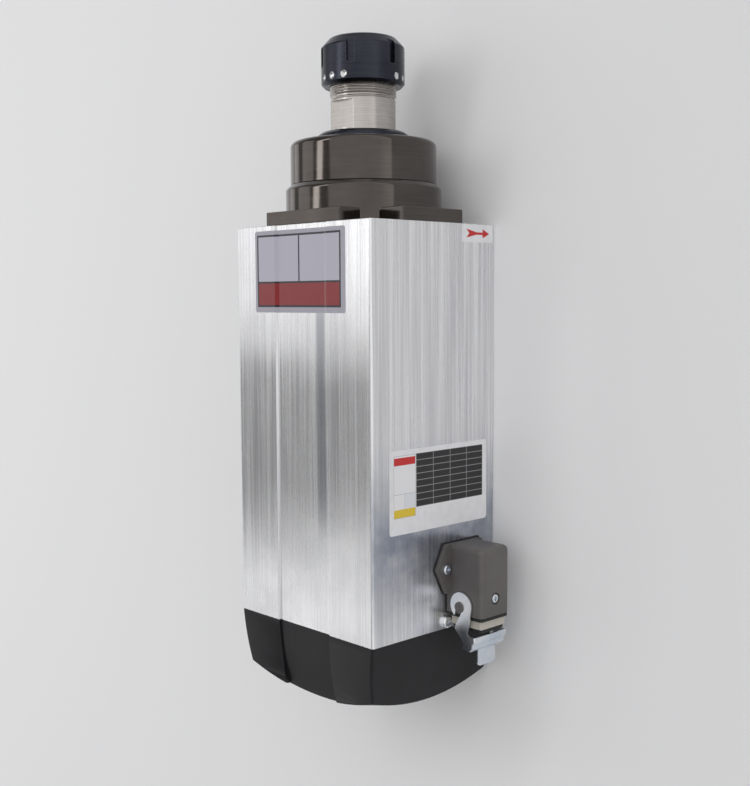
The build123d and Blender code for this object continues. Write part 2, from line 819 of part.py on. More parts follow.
def cover_form(inset):
    body = cover_flat_sides(inset) & cover_bowed_sides(half_width - inset, cover_side_radius)
    strip = Pos(x_casing_rear, 0, 0) * Box(2 * cover_length + 6, band_width, 2 * casing_width)
    body -= strip - cover_bowed_sides(half_width - inset - band_depth, cover_band_radius)
    return body & cover_dome(inset)


def grille_cutter():
    # Rings of slots between round bars, crossed by straight ribs
    sketch = None
    radius = grille_inner_radius
    for index in range(grille_ring_count):
        band = Circle(radius + grille_slot_width) - Circle(radius)
        sketch = band if sketch is None else sketch + band
        radius += grille_slot_width + grille_bar_width
    for angle in around(grille_rib_count):
        sketch -= Rot(Z=angle) * Pos(radius / 2, 0) * Rectangle(radius + 2, grille_rib_width)
    return prism(sketch, x_fan_rear + 3, x_cover_rear + 1)


def cover_screw_seat():
    return cover_end_x(cover_screw_y, tab_screw_z) - cover_screw_sunk


def fan_cover():
    outer = cover_form(0)
    corners = [edge for edge in outer.edges() if edge.length > cover_length * 0.6 and on_corner(edge)]
    outer = fillet(corners, cover_edge_radius)
    outer = fillet([edge for edge in outer.edges() if on_domed_end(edge)], cover_rim_radius)
    body = outer - cover_form(cover_wall)
    seat = cover_screw_seat()
    for y, z in cover_screw_places():
        body += rod(x_rear_plate_rear, seat + cover_wall, cover_post_radius, y, z)
        body -= rod(x_rear_plate_rear, x_cover_rear, screw_m4_radius + thread_gap, y, z)
        body -= rod(seat, x_cover_rear, 2 * screw_m4_radius, y, z)
    return body - grille_cutter()


def on_corner(edge):
    # Whether an edge is where two tapering sides meet
    middle = edge @ 0.5
    return abs(middle.Y) > cover_rim_half(half_depth) - 1 and abs(middle.Z) > cover_rim_half(half_width) - 1


def on_domed_end(edge):
    # Whether an edge is where the sides meet the domed end
    middle = edge @ 0.5
    return abs(middle.X - cover_end_x(middle.Y, middle.Z)) < cover_rim_radius


def fan_cover_screws():
    seat = cover_screw_seat()
    length = seat - x_casing_rear + screw_grip
    screw = pan_screw(pan_m4_head_height, length, screw_m4_radius, pan_m4_head_radius)
    return [Pos(seat, y, z) * Rot(Y=90) * screw for y, z in cover_screw_places()]


def ear_sketch(grow=0.0):
    # Six-sided base flange, seen from outside the plug face
    tip = ear_span / 2 + grow
    shoulder = ear_shoulder / 2 + grow
    front = -ear_length / 2 - grow
    points = [(front, shoulder), (0, tip), (-front, shoulder), (-front, -shoulder), (0, -tip), (front, -shoulder)]
    flange = make_face(Polyline(*points, close=True))
    tail_length = plug_length + grow
    tail = Pos(tail_length / 2 + front, 0) * Rectangle(tail_length, plug_width + 2 * grow)
    return flange + tail


def plug_gasket():
    face = plug_plane(x_ear_middle, half_depth)
    body = extrude(face * ear_sketch(0.6), plug_gasket_thickness)
    body -= plug_plane(x_cable_hole, half_depth) * Cylinder(cable_hole_radius, 3 * plug_gasket_thickness)
    for side in (-1, 1):
        spot = plug_plane(x_ear_middle, half_depth, side * ear_screw_spacing / 2)
        body -= spot * Cylinder(screw_m3_radius + thread_gap, 4)
    return body


def plug_block(x0, x1, y0, y1, width):
    size = (x1 - x0, y1 - y0, width)
    return Pos((x0 + x1) / 2, (y0 + y1) / 2, plug_offset_z) * Box(*size)


def plug_housing():
    shell = plug_block(x_plug_front, x_plug_rear, y_plug_base, y_plug_top, plug_width)
    upper = [edge for edge in shell.edges() if (edge @ 0.5).X < x_plug_rear - 1 and (edge @ 0.5).Y > y_plug_base + 1]
    shell = fillet(upper, plug_edge_radius)
    flange = extrude(plug_plane(x_ear_middle, y_plug_base) * ear_sketch(), ear_thickness)
    body = shell + flange
    body -= plug_block(x_plug_front + 2 * plug_wall, x_plug_rear, y_plug_base, y_plug_top - plug_wall,
                       plug_width - 2 * plug_wall)
    for side in (-1, 1):
        spot = plug_plane(x_ear_middle, y_plug_base, side * ear_screw_spacing / 2)
        body -= spot * Cylinder(screw_m3_radius + thread_gap, 4 * ear_thickness)
    spot = plug_plane(x_insert_screw, y_plug_top)
    body -= spot * Cylinder(insert_screw_recess, 2 * insert_screw_sunk)
    body -= spot * Cylinder(screw_m3_radius + thread_gap, 4 * plug_wall)
    return body - Pos(x_peg, y_peg, plug_offset_z) * Cylinder(peg_radius + seat_gap, plug_width)


def housing_screws():
    top = y_plug_base + ear_thickness
    screw = pan_screw(pan_m3_head_height, housing_screw_length, screw_m3_radius, pan_m3_head_radius)
    return [plug_plane(x_ear_middle, top, side * ear_screw_spacing / 2) * screw for side in (-1, 1)]


def insert_width():
    return plug_width - 2 * plug_wall - 2 * insert_gap


def plug_insert():
    y0 = y_plug_base + plug_wall
    y1 = y_plug_top - plug_wall - insert_gap
    x1 = x_plug_rear + rim_seal_thickness + insert_shown
    x0 = x1 - insert_length
    body = plug_block(x0, x1, y0, y1, insert_width())
    body = fillet(body.edges().filter_by(Axis.X), 1.4)
    cavity = plug_block(x1 - socket_depth, x1, y0 + insert_wall, y1 - insert_wall,
                        insert_width() - 2 * insert_wall)
    drilled = Cylinder(screw_m3_radius + thread_gap, 2 * insert_screw_length)
    return body - cavity - plug_plane(x_insert_screw, y1) * drilled


def rim_seal():
    x0 = x_plug_rear
    x1 = x0 + rim_seal_thickness
    inset = 0.5
    outer = plug_block(x0, x1, y_plug_base + inset, y_plug_top - inset, plug_width - 2 * inset)
    outer = fillet(outer.edges().filter_by(Axis.X), 2.0)
    y0 = y_plug_base + plug_wall - insert_gap
    y1 = y_plug_top - plug_wall
    return outer - plug_block(x0, x1, y0, y1, insert_width() + 2 * insert_gap)


def contact_carrier():
    # Dark frame round the mouth of the insert
    x0 = x_plug_rear + rim_seal_thickness + insert_shown
    y0 = y_plug_base + plug_wall
    y1 = y_plug_top - plug_wall - insert_gap
    outer = plug_block(x0, x0 + carrier_thickness, y0 + 0.6, y1 - 0.6, insert_width() - 1.2)
    outer = fillet(outer.edges().filter_by(Axis.X), 1.4)
    outer = chamfer(outer.edges().group_by(Axis.X)[-1], carrier_chamfer)
    return outer - plug_block(x0, x0 + carrier_thickness, y0 + insert_wall, y1 - insert_wall,
                          insert_width() - 2 * insert_wall)


def plug_contacts():
    x1 = x_plug_rear + rim_seal_thickness + insert_shown
    y_middle = (y_plug_base + y_plug_top) / 2
    found = []
    for row in (-1, 1):
        for side in (-1, 1):
            y = y_middle + row * contact_spacing / 2
            z = plug_offset_z + side * contact_spacing / 2
            found.append(rod(x1 - socket_depth, x1 - contact_set_back, contact_radius, y, z))
    return found


def insert_screw():
    screw = pan_screw(insert_screw_sunk, insert_screw_length, screw_m3_radius, insert_screw_head_radius)
    return plug_plane(x_insert_screw, y_plug_top - insert_screw_sunk) * screw


def latch_pegs():
    found = []
    for side in (-1, 1):
        length = peg_length + plug_wall
        z_middle = plug_offset_z + side * (plug_width / 2 + (peg_length - plug_wall) / 2)
        found.append(Pos(x_peg, y_peg, z_middle) * Cylinder(peg_radius, length))
    return found


def lever_arm():
    # Side plate with a hook that is open behind the peg
    head = Pos(*lever_head_place) * Circle(lever_head_radius)
    mouth = Rot(Z=lever_mouth_angle) * Pos(lever_mouth_length / 2, 0) * Rectangle(lever_mouth_length, lever_mouth_width)
    arm = make_face(Polyline(*lever_outer_line, *lever_bar_line, *lever_inner_line, close=True))
    return Pos(x_peg, y_peg) * (head - mouth + arm - Circle(peg_radius + running_gap))


def latch_lever():
    inner = plug_width / 2 + lever_side_gap
    outer = inner + lever_thickness
    underside = [(x, y - lever_thickness) for x, y in reversed(lever_bar_line)]
    bar = Pos(x_peg, y_peg) * make_face(Polyline(*lever_bar_line, *underside, close=True))
    body = Pos(0, 0, plug_offset_z) * extrude(bar, outer, both=True)
    for z in (inner, -outer):
        body += extrude(Plane.XY.offset(plug_offset_z + z) * lever_arm(), lever_thickness)
    folds = [edge for edge in body.edges() if on_fold(edge, outer)]
    body = fillet(folds, lever_fold_radius)
    end_x, end_y = lever_bar_line[-1]
    root = end_x - lever_thickness
    length = lever_tab_length + lever_thickness
    outline = Pos(length / 2, 0) * RectangleRounded(length, lever_tab_width, lever_tab_round)
    return body + extrude(plug_plane(x_peg + root, y_peg + end_y) * outline, -lever_thickness)


def on_fold(edge, outer):
    # Whether an edge is where the bar turns into a side plate
    middle = edge @ 0.5
    x = middle.X - x_peg
    y = middle.Y - y_peg
    at_side = abs(abs(middle.Z - plug_offset_z) - outer) < 0.1
    return at_side and x > lever_bar_line[0][0] + 0.1 and y > lever_bar_line[-1][1] + 0.1


def earth_screw():
    screw = pan_screw(pan_m4_head_height, earth_screw_length, screw_m4_radius, earth_screw_head_radius)
    return earth_screw_spot() * screw


def stator_lock_screws():
    x = x_casing_front + lock_screw_from_front
    found = []
    for side in (-1, 1):
        z = side * mount_row_spacing / 2
        spot = Plane(origin=(x, -half_depth + lock_screw_sunk, z), x_dir=(1, 0, 0), z_dir=(0, -1, 0))
        length = half_depth - lock_screw_sunk - sqrt(casing_bore_radius ** 2 - (z - side * lock_screw_radius) ** 2)
        shank = Cylinder(lock_screw_radius, length - 1, align=(Align.CENTER, Align.CENTER, Align.MAX))
        socket = extrude(RegularPolygon(1.7, 6), -3)
        found.append(spot * (shank - socket))
    return found


nodes = {
    "motor_casing": motor_casing(),
    "front_end_shield": front_end_shield(),
    "end_shield_screws": end_shield_screws(),
    "front_bearing_cap": front_bearing_cap(),
    "bearing_cap_screws": bearing_cap_screws(),
    "dust_ring": dust_ring(),
    "spindle_shaft": spindle_shaft(),
    "collet": collet(),
    "collet_nut": collet_nut(),
    "front_bearing_outer_rings": front_pair(outer_ring),
    "front_bearing_inner_rings": front_pair(inner_ring),
    "front_bearing_balls": front_pair(balls),
    "front_bearing_cages": front_pair(cage),
    "bearing_outer_spacer": bearing_outer_spacer(),
    "bearing_inner_spacer": bearing_inner_spacer(),
    "bearing_lock_nut": bearing_lock_nut(),
    "stator_core": stator_core(),
    "front_winding": winding(x_stator_front - winding_length, x_stator_front),
    "rear_winding": winding(x_stator_rear, x_stator_rear + winding_length),
    "rotor_core": rotor_core(),
    "rotor_end_rings": rotor_end_rings(),
    "rear_bearing_plate": rear_bearing_plate(),
    "rear_plate_screws": rear_plate_screws(),
    "rear_bearing_outer_ring": rear_single(outer_ring),
    "rear_bearing_inner_ring": rear_single(inner_ring),
    "rear_bearing_balls": rear_single(balls),
    "rear_bearing_cage": rear_single(cage),
    "wave_spring": wave_spring(),
    "cooling_fan": cooling_fan(),
    "fan_washer": fan_washer(),
    "fan_screw": fan_screw(),
    "fan_cover": fan_cover(),
    "fan_cover_screws": fan_cover_screws(),
    "plug_gasket": plug_gasket(),
    "plug_housing": plug_housing(),
    "housing_screws": housing_screws(),
    "plug_insert": plug_insert(),
    "rim_seal": rim_seal(),
    "contact_carrier": contact_carrier(),
    "plug_contacts": plug_contacts(),
    "insert_screw": insert_screw(),
    "latch_pegs": latch_pegs(),
    "latch_lever": latch_lever(),
    "earth_screw": earth_screw(),
    "stator_lock_screws": stator_lock_screws(),
}

os.makedirs("parts", exist_ok=True)
for name, shape in nodes.items():
    solids = shape if isinstance(shape, list) else [shape]
    export_step(Compound(children=[s for part in solids for s in part.solids()]), f"parts/{name}.step")
    print(name, len(solids), "piece(s)")
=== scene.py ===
import json
import math
from contextlib import contextmanager

import bmesh
import bpy
from mathutils import Matrix, Vector


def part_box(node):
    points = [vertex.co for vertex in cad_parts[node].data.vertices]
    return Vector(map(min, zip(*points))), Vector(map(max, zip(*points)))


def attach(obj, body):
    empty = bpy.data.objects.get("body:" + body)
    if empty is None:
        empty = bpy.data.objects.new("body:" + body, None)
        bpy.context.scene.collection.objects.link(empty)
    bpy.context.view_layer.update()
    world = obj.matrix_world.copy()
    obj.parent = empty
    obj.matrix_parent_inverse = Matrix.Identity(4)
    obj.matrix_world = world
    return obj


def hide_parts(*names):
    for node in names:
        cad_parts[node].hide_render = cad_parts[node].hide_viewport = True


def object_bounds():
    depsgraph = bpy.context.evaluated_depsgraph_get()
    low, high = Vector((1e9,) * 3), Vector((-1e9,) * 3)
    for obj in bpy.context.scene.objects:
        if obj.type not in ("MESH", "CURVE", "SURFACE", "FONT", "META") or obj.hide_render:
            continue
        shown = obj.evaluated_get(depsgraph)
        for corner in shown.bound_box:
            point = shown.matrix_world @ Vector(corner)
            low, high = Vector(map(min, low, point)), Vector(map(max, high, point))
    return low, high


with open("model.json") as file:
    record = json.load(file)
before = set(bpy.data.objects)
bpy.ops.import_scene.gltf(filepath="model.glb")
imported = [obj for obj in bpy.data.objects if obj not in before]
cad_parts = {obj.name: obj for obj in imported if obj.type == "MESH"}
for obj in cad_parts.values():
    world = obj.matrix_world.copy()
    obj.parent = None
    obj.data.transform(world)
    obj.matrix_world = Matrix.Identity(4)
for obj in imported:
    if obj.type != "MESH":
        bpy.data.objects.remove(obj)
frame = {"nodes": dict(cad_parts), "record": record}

scene = bpy.context.scene
cadNodes = frame["nodes"]
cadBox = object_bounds()
mm = 0.001
seamReach = 1.5e-6    # points closer than this are joined after bevels and booleans


# Small mesh helpers

@contextmanager
def editing(data):
    # The mesh data as a bmesh, written back at the end
    mesh = bmesh.new()
    mesh.from_mesh(data)
    yield mesh
    mesh.to_mesh(data)
    mesh.free()


def boxInMm(node):
    low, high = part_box(node)
    return low / mm, high / mm


def newObject(name, mesh):
    obj = bpy.data.objects.new(name, mesh)
    scene.collection.objects.link(obj)
    return obj


def dropObject(obj):
    mesh = obj.data
    bpy.data.objects.remove(obj)
    if mesh.users == 0:
        if isinstance(mesh, bpy.types.Mesh):
            bpy.data.meshes.remove(mesh)
        else:
            bpy.data.curves.remove(mesh)


def bakeModifiers(obj):
    # The evaluated result becomes the object's own plain mesh
    depsgraph = bpy.context.evaluated_depsgraph_get()
    mesh = bpy.data.meshes.new_from_object(obj.evaluated_get(depsgraph), depsgraph=depsgraph)
    mesh.name = obj.name
    old = obj.data
    obj.modifiers.clear()
    obj.data = mesh
    if old.users == 0:
        bpy.data.meshes.remove(old)
    return obj


def roundedPath(corners, steps=4, closed=True):
    # corners are (a, b) or (a, b, radius); each radius becomes a short arc
    points = []
    count = len(corners)
    for index, corner in enumerate(corners):
        here = Vector(corner[:2])
        radius = corner[2] if len(corner) > 2 else 0
        inner = closed or 0 < index < count - 1
        if radius <= 0 or not inner:
            points.append(here)
            continue
        before = Vector(corners[index - 1][:2]) - here
        after = Vector(corners[(index + 1) % count][:2]) - here
        half = before.angle(after) / 2
        reach = min(radius / math.tan(half), 0.49 * before.length, 0.49 * after.length)
        trueRadius = reach * math.tan(half)
        middle = (before.normalized() + after.normalized()).normalized() * (trueRadius / math.sin(half))
        start = before.normalized() * reach - middle
        end = after.normalized() * reach - middle
        sweep = start.angle_signed(end)
        for step in range(steps + 1):
            turn = Matrix.Rotation(-sweep * step / steps, 2)
            points.append(here + middle + turn @ start)
    return points


def arcPoints(radius, first, last, count):
    # Points on a circle round the origin, angles in degrees
    found = []
    for step in range(count + 1):
        angle = math.radians(first + (last - first) * step / count)
        found.append((radius * math.cos(angle), radius * math.sin(angle)))
    return found


def lathe(name, corners, segments=128, steps=4, closed=True):
    # corners are (x, radius[, rounding]) in mm, turned round the spindle's axis
    path = roundedPath(corners, steps, closed)
    mesh = bmesh.new()
    rings = []
    for x, radius in path:
        if radius < 1e-6:
            rings.append([mesh.verts.new((x * mm, 0, 0))])
            continue
        ring = []
        for segment in range(segments):
            angle = 2 * math.pi * segment / segments
            ring.append(mesh.verts.new((x * mm, radius * mm * math.cos(angle), radius * mm * math.sin(angle))))
        rings.append(ring)
    pairs = list(zip(rings, rings[1:]))
    if closed:
        pairs.append((rings[-1], rings[0]))
    for first, second in pairs:
        if len(first) == 1 and len(second) == 1:
            continue
        for segment in range(segments):
            after = (segment + 1) % segments
            corner = [first[segment % len(first)], first[after % len(first)],
                      second[after % len(second)], second[segment % len(second)]]
            mesh.faces.new(list(dict.fromkeys(corner)))
    bmesh.ops.remove_doubles(mesh, verts=mesh.verts, dist=1e-7)
    bmesh.ops.recalc_face_normals(mesh, faces=mesh.faces)
    data = bpy.data.meshes.new(name)
    mesh.to_mesh(data)
    mesh.free()
    return newObject(name, data)


toX = Matrix(((0, 0, 1, 0), (1, 0, 0, 0), (0, 1, 0, 0), (0, 0, 0, 1)))    # drawn in (Y, Z), thick along X
toY = Matrix(((1, 0, 0, 0), (0, 0, -1, 0), (0, 1, 0, 0), (0, 0, 0, 1)))   # drawn in (X, Z), thick along Y
toZ = Matrix.Identity(4)                                                  # drawn in (X, Y), thick along Z


def slab(name, loops, low, high, plane=toX, bevel=0.0, bevelSteps=2):
    # A flat curve with holes, filled and thickened from low to high, with rounded rims
    curve = bpy.data.curves.new(name, "CURVE")
    curve.dimensions = "2D"
    curve.fill_mode = "BOTH"
    curve.extrude = ((high - low) / 2 - bevel) * mm
    curve.bevel_depth = bevel * mm
    curve.bevel_resolution = bevelSteps
    curve.offset = -bevel * mm
    for loop in loops:
        spline = curve.splines.new("POLY")
        spline.points.add(len(loop) - 1)
        for point, (a, b) in zip(spline.points, loop):
            point.co = (a * mm, b * mm, 0, 1)
        spline.use_cyclic_u = True
    holder = newObject(name, curve)
    depsgraph = bpy.context.evaluated_depsgraph_get()
    data = bpy.data.meshes.new_from_object(holder.evaluated_get(depsgraph), depsgraph=depsgraph)
    dropObject(holder)
    middle = (low + high) / 2 * mm
    side = -1 if plane is toY else 1
    data.transform(plane @ Matrix.Translation((0, 0, side * middle)))
    with editing(data) as mesh:
        bmesh.ops.remove_doubles(mesh, verts=mesh.verts, dist=1e-6)
        bmesh.ops.recalc_face_normals(mesh, faces=mesh.faces)
    data.name = name
    data.materials.clear()
    return newObject(name, data)


def rectLoop(a0, a1, b0, b1, rounding=0.0):
    return roundedPath([(a0, b0, rounding), (a1, b0, rounding), (a1, b1, rounding), (a0, b1, rounding)])


def merge(name, objects):
    # Joins meshes into one object
    mesh = bmesh.new()
    for obj in objects:
        mesh.from_mesh(obj.data)
    data = bpy.data.meshes.new(name)
    mesh.to_mesh(data)
    mesh.free()
    for obj in objects:
        dropObject(obj)
    return newObject(name, data)


def combine(obj, other, operation="DIFFERENCE"):
    # Boolean of two closed meshes; the second one is used up
    modifier = obj.modifiers.new("shape", "BOOLEAN")
    modifier.operation = operation
    modifier.solver = "EXACT"
    modifier.object = other
    bakeModifiers(obj)
    dropObject(other)
    return obj


def shade(obj, sharpDegrees, bevel=0.0):
    # Small rounded edges, smooth sides and flat faces that stay flat
    if bevel > 0:
        with editing(obj.data) as mesh:
            bmesh.ops.remove_doubles(mesh, verts=mesh.verts, dist=2e-6)
            bmesh.ops.dissolve_limit(mesh, angle_limit=math.radians(0.6), verts=mesh.verts, edges=mesh.edges)
        edge = obj.modifiers.new("edges", "BEVEL")
        edge.width = bevel * mm
        edge.segments = 2
        edge.limit_method = "ANGLE"
        edge.angle_limit = math.radians(30)
        edge.miter_outer = "MITER_ARC"
        bakeModifiers(obj)
    with editing(obj.data) as mesh:
        bmesh.ops.remove_doubles(mesh, verts=mesh.verts, dist=seamReach)
        bmesh.ops.dissolve_degenerate(mesh, edges=mesh.edges, dist=seamReach)
    obj.data.shade_smooth()
    obj.data.set_sharp_from_angle(angle=math.radians(sharpDegrees))
    weights = obj.modifiers.new("normals", "WEIGHTED_NORMAL")
    weights.keep_sharp = True
    return bakeModifiers(obj)


def copyOfNode(name, node):
    # The CAD shape as a merged mesh, ready for rounded edges
    mesh = bmesh.new()
    mesh.from_mesh(cadNodes[node].data)
    bmesh.ops.remove_doubles(mesh, verts=mesh.verts, dist=1e-6)
    data = bpy.data.meshes.new(name)
    mesh.to_mesh(data)
    mesh.free()
    return newObject(name, data)


def paint(obj, material):
    obj.data.materials.clear()
    obj.data.materials.append(material)
    return obj


def place(obj, body, *nodes):
    if nodes:
        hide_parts(*nodes)
    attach(obj, body)
    return obj


def finishPiece(obj, sharpDegrees, slotName, body, *nodes, material=None):
    # The last steps of a piece: shading, finish and body
    shade(obj, sharpDegrees)
    paint(obj, material or finishes[slotName])
    return place(obj, body, *nodes)


# Geometry Nodes helpers

def newTree(name, inputs):
    # A tree with named inputs: {name: (socket type, value)}
    tree = bpy.data.node_groups.new(name, "GeometryNodeTree")
    tree.interface.new_socket("Geometry", in_out="INPUT", socket_type="NodeSocketGeometry")
    for title, (kind, value) in inputs.items():
        socket = tree.interface.new_socket(title, in_out="INPUT", socket_type=kind)
        if value is not None:
            socket.default_value = value
    tree.interface.new_socket("Geometry", in_out="OUTPUT", socket_type="NodeSocketGeometry")
    return tree, tree.nodes.new("NodeGroupInput").outputs


def addNode(tree, kind, settings=None, **sockets):
    # Sockets are named without spaces; a value is set and an output is linked
    node = tree.nodes.new(kind)
    for key, value in (settings or {}).items():
        setattr(node, key, value)
    for key, value in sockets.items():
        if key.startswith("i") and key[1:].isdigit():
            socket = node.inputs[int(key[1:])]
        else:
            socket = next(s for s in node.inputs if s.name.replace(" ", "") == key and s.enabled)
        if isinstance(value, bpy.types.NodeSocket):
            tree.links.new(value, socket)
        else:
            socket.default_value = value
    return node


def mathNode(tree, operation, first, second=0.0):
    return addNode(tree, "ShaderNodeMath", {"operation": operation}, i0=first, i1=second).outputs[0]


def times(tree, first, second):
    return mathNode(tree, "MULTIPLY", first, second)


def plus(tree, first, second):
    return mathNode(tree, "ADD", first, second)


def closeTree(tree, geometry, material):
    realized = addNode(tree, "GeometryNodeRealizeInstances", Geometry=geometry)
    finished = addNode(tree, "GeometryNodeSetMaterial", Geometry=realized.outputs[0], Material=material)
    exitNode = tree.nodes.new("NodeGroupOutput")
    tree.links.new(finished.outputs[0], exitNode.inputs[0])
    return tree


def applyTree(obj, tree, **values):
    # Inputs are set by identifier before the object is first evaluated
    modifier = obj.modifiers.new(tree.name, "NODES")
    modifier.node_group = tree
    for item in tree.interface.items_tree:
        key = item.name.replace(" ", "")
        if item.in_out == "INPUT" and key in values:
            modifier[item.identifier] = values[key]
    return bakeModifiers(obj)


def ringTree():
    # Copies of the object turned evenly round the spindle's axis
    tree, given = newTree("copiesRoundAxis", {
        "Count": ("NodeSocketInt", 6), "Start Degrees": ("NodeSocketFloat", 0.0),
        "Step Degrees": ("NodeSocketFloat", 60.0), "Material": ("NodeSocketMaterial", None)})
    points = addNode(tree, "GeometryNodePoints", Count=given["Count"])
    index = addNode(tree, "GeometryNodeInputIndex").outputs[0]
    degrees = plus(tree, times(tree, index, given["Step Degrees"]),
                       given["Start Degrees"])
    turn = addNode(tree, "ShaderNodeCombineXYZ", X=mathNode(tree, "RADIANS", degrees))
    copies = addNode(tree, "GeometryNodeInstanceOnPoints", Points=points.outputs[0],
                     Instance=given["Geometry"], Rotation=turn.outputs[0])
    return closeTree(tree, copies.outputs[0], given["Material"])


def gridTree():
    # Copies of the object in rows along X, Y and Z
    tree, given = newTree("copiesInRows", {
        "Count A": ("NodeSocketInt", 2), "Count B": ("NodeSocketInt", 2),
        "Start": ("NodeSocketVector", (0, 0, 0)), "Step A": ("NodeSocketVector", (0, 0, 0)),
        "Step B": ("NodeSocketVector", (0, 0, 0)), "Material": ("NodeSocketMaterial", None)})
    total = times(tree, given["Count A"], given["Count B"])
    index = addNode(tree, "GeometryNodeInputIndex").outputs[0]
    row = mathNode(tree, "FLOOR", mathNode(tree, "DIVIDE", index, given["Count A"]))
    column = mathNode(tree, "MODULO", index, given["Count A"])
    alongA = addNode(tree, "ShaderNodeVectorMath", {"operation": "SCALE"}, i0=given["Step A"], Scale=column)
    alongB = addNode(tree, "ShaderNodeVectorMath", {"operation": "SCALE"}, i0=given["Step B"], Scale=row)
    both = addNode(tree, "ShaderNodeVectorMath", {"operation": "ADD"}, i0=alongA.outputs[0], i1=alongB.outputs[0])
    spot = addNode(tree, "ShaderNodeVectorMath", {"operation": "ADD"}, i0=both.outputs[0], i1=given["Start"])
    points = addNode(tree, "GeometryNodePoints", Count=total, Position=spot.outputs[0])
    copies = addNode(tree, "GeometryNodeInstanceOnPoints", Points=points.outputs[0],
                     Instance=given["Geometry"])
    return closeTree(tree, copies.outputs[0], given["Material"])


def threadTree():
    # A V-shaped ridge wound along Z; a negative depth points inwards
    tree, given = newTree("screwThread", {
        "Radius": ("NodeSocketFloat", 0.02), "Pitch": ("NodeSocketFloat", 0.0015),
        "Length": ("NodeSocketFloat", 0.02), "Depth": ("NodeSocketFloat", 0.001),
        "Steps": ("NodeSocketInt", 48), "Material": ("NodeSocketMaterial", None)})
    turns = mathNode(tree, "DIVIDE", given["Length"], given["Pitch"])
    spiral = addNode(tree, "GeometryNodeCurveSpiral", Resolution=given["Steps"], Rotations=turns,
                     StartRadius=given["Radius"], EndRadius=given["Radius"],
                     Height=given["Length"])
    upright = addNode(tree, "GeometryNodeSetCurveNormal", {"mode": "Z_UP"}, Curve=spiral.outputs[0])
    half = times(tree, given["Pitch"], 0.46)
    foot = times(tree, given["Depth"], 0.15)
    profile = addNode(tree, "GeometryNodeCurvePrimitiveLine",
                      Start=addNode(tree, "ShaderNodeCombineXYZ", X=foot,
                                    Y=times(tree, half, -1.0)).outputs[0],
                      End=addNode(tree, "ShaderNodeCombineXYZ", X=foot, Y=half).outputs[0])
    cut = addNode(tree, "GeometryNodeSubdivideCurve", Curve=profile.outputs[0], Cuts=2)
    index = addNode(tree, "GeometryNodeInputIndex").outputs[0]
    isInner = addNode(tree, "FunctionNodeBooleanMath", {"operation": "AND"},
                      i0=addNode(tree, "ShaderNodeMath", {"operation": "GREATER_THAN"}, i0=index, i1=0.5).outputs[0],
                      i1=addNode(tree, "ShaderNodeMath", {"operation": "LESS_THAN"}, i0=index, i1=2.5).outputs[0])
    position = addNode(tree, "GeometryNodeInputPosition").outputs[0]
    split = addNode(tree, "ShaderNodeSeparateXYZ", Vector=position)
    crest = addNode(tree, "ShaderNodeCombineXYZ", X=times(tree, given["Depth"], -1.0),
                    Y=times(tree, split.outputs[1], 0.45))
    ridge = addNode(tree, "GeometryNodeSetPosition", Geometry=cut.outputs[0], Selection=isInner.outputs[0],
                    Position=crest.outputs[0])
    closed = addNode(tree, "GeometryNodeSetSplineCyclic", Geometry=ridge.outputs[0], Cyclic=True)
    swept = addNode(tree, "GeometryNodeCurveToMesh", Curve=upright.outputs[0], ProfileCurve=closed.outputs[0])
    return closeTree(tree, swept.outputs[0], given["Material"])


treeRing = ringTree()
treeGrid = gridTree()
treeThread = threadTree()
print("stage: helpers ready")


# Materials, all procedural on Object coordinates

def newMaterial(name, color, metallic, roughness, **extra):
    # extra holds constant values for the shader's own sockets
    material = bpy.data.materials.new(name)
    material.use_nodes = True
    shader = material.node_tree.nodes["Principled BSDF"]
    shader.inputs["Base Color"].default_value = (*color, 1)
    shader.inputs["Metallic"].default_value = metallic
    shader.inputs["Roughness"].default_value = roughness
    for key, value in extra.items():
        shader.inputs[key].default_value = value
    material.diffuse_color = (*color, 1)
    return material, material.node_tree, shader


def noiseOn(tree, scale, detail, stretch=(1, 1, 1)):
    # Noise on Object coordinates, stretched along the axes
    coordinates = addNode(tree, "ShaderNodeTexCoord").outputs["Object"]
    mapped = addNode(tree, "ShaderNodeMapping", Vector=coordinates, Scale=stretch)
    noise = addNode(tree, "ShaderNodeTexNoise", Vector=mapped.outputs[0], Scale=scale, Detail=detail)
    return noise.outputs["Fac"]


def feed(tree, shader, color, roughness=None):
    tree.links.new(color, shader.inputs["Base Color"])
    if roughness:
        tree.links.new(roughness, shader.inputs["Roughness"])


def ramp(tree, factor, low, high, outLow, outHigh):
    return addNode(tree, "ShaderNodeMapRange", Value=factor, FromMin=low, FromMax=high,
                   ToMin=outLow, ToMax=outHigh).outputs[0]


def tint(tree, factor, first, second):
    mix = addNode(tree, "ShaderNodeMix", {"data_type": "RGBA"}, Factor=factor)
    mix.inputs[6].default_value = (*first, 1)
    mix.inputs[7].default_value = (*second, 1)
    return mix.outputs[2]


def bump(tree, shader, height, strength, distance):
    node = addNode(tree, "ShaderNodeBump", Height=height, Strength=strength, Distance=distance * mm)
    tree.links.new(node.outputs[0], shader.inputs["Normal"])


def bandMask(tree, value, low, high, soft=0.0):
    # 1 where the value lies between low and high
    if soft <= 0:
        half = (high - low) / 2
        return addNode(tree, "ShaderNodeMath", {"operation": "COMPARE"}, i0=value, i1=low + half, i2=half).outputs[0]
    rise = addNode(tree, "ShaderNodeMapRange", {"interpolation_type": "SMOOTHSTEP"}, Value=value,
                   FromMin=low - soft, FromMax=low + soft).outputs[0]
    fall = addNode(tree, "ShaderNodeMapRange", {"interpolation_type": "SMOOTHSTEP"}, Value=value,
                   FromMin=high + soft, FromMax=high - soft).outputs[0]
    return times(tree, rise, fall)


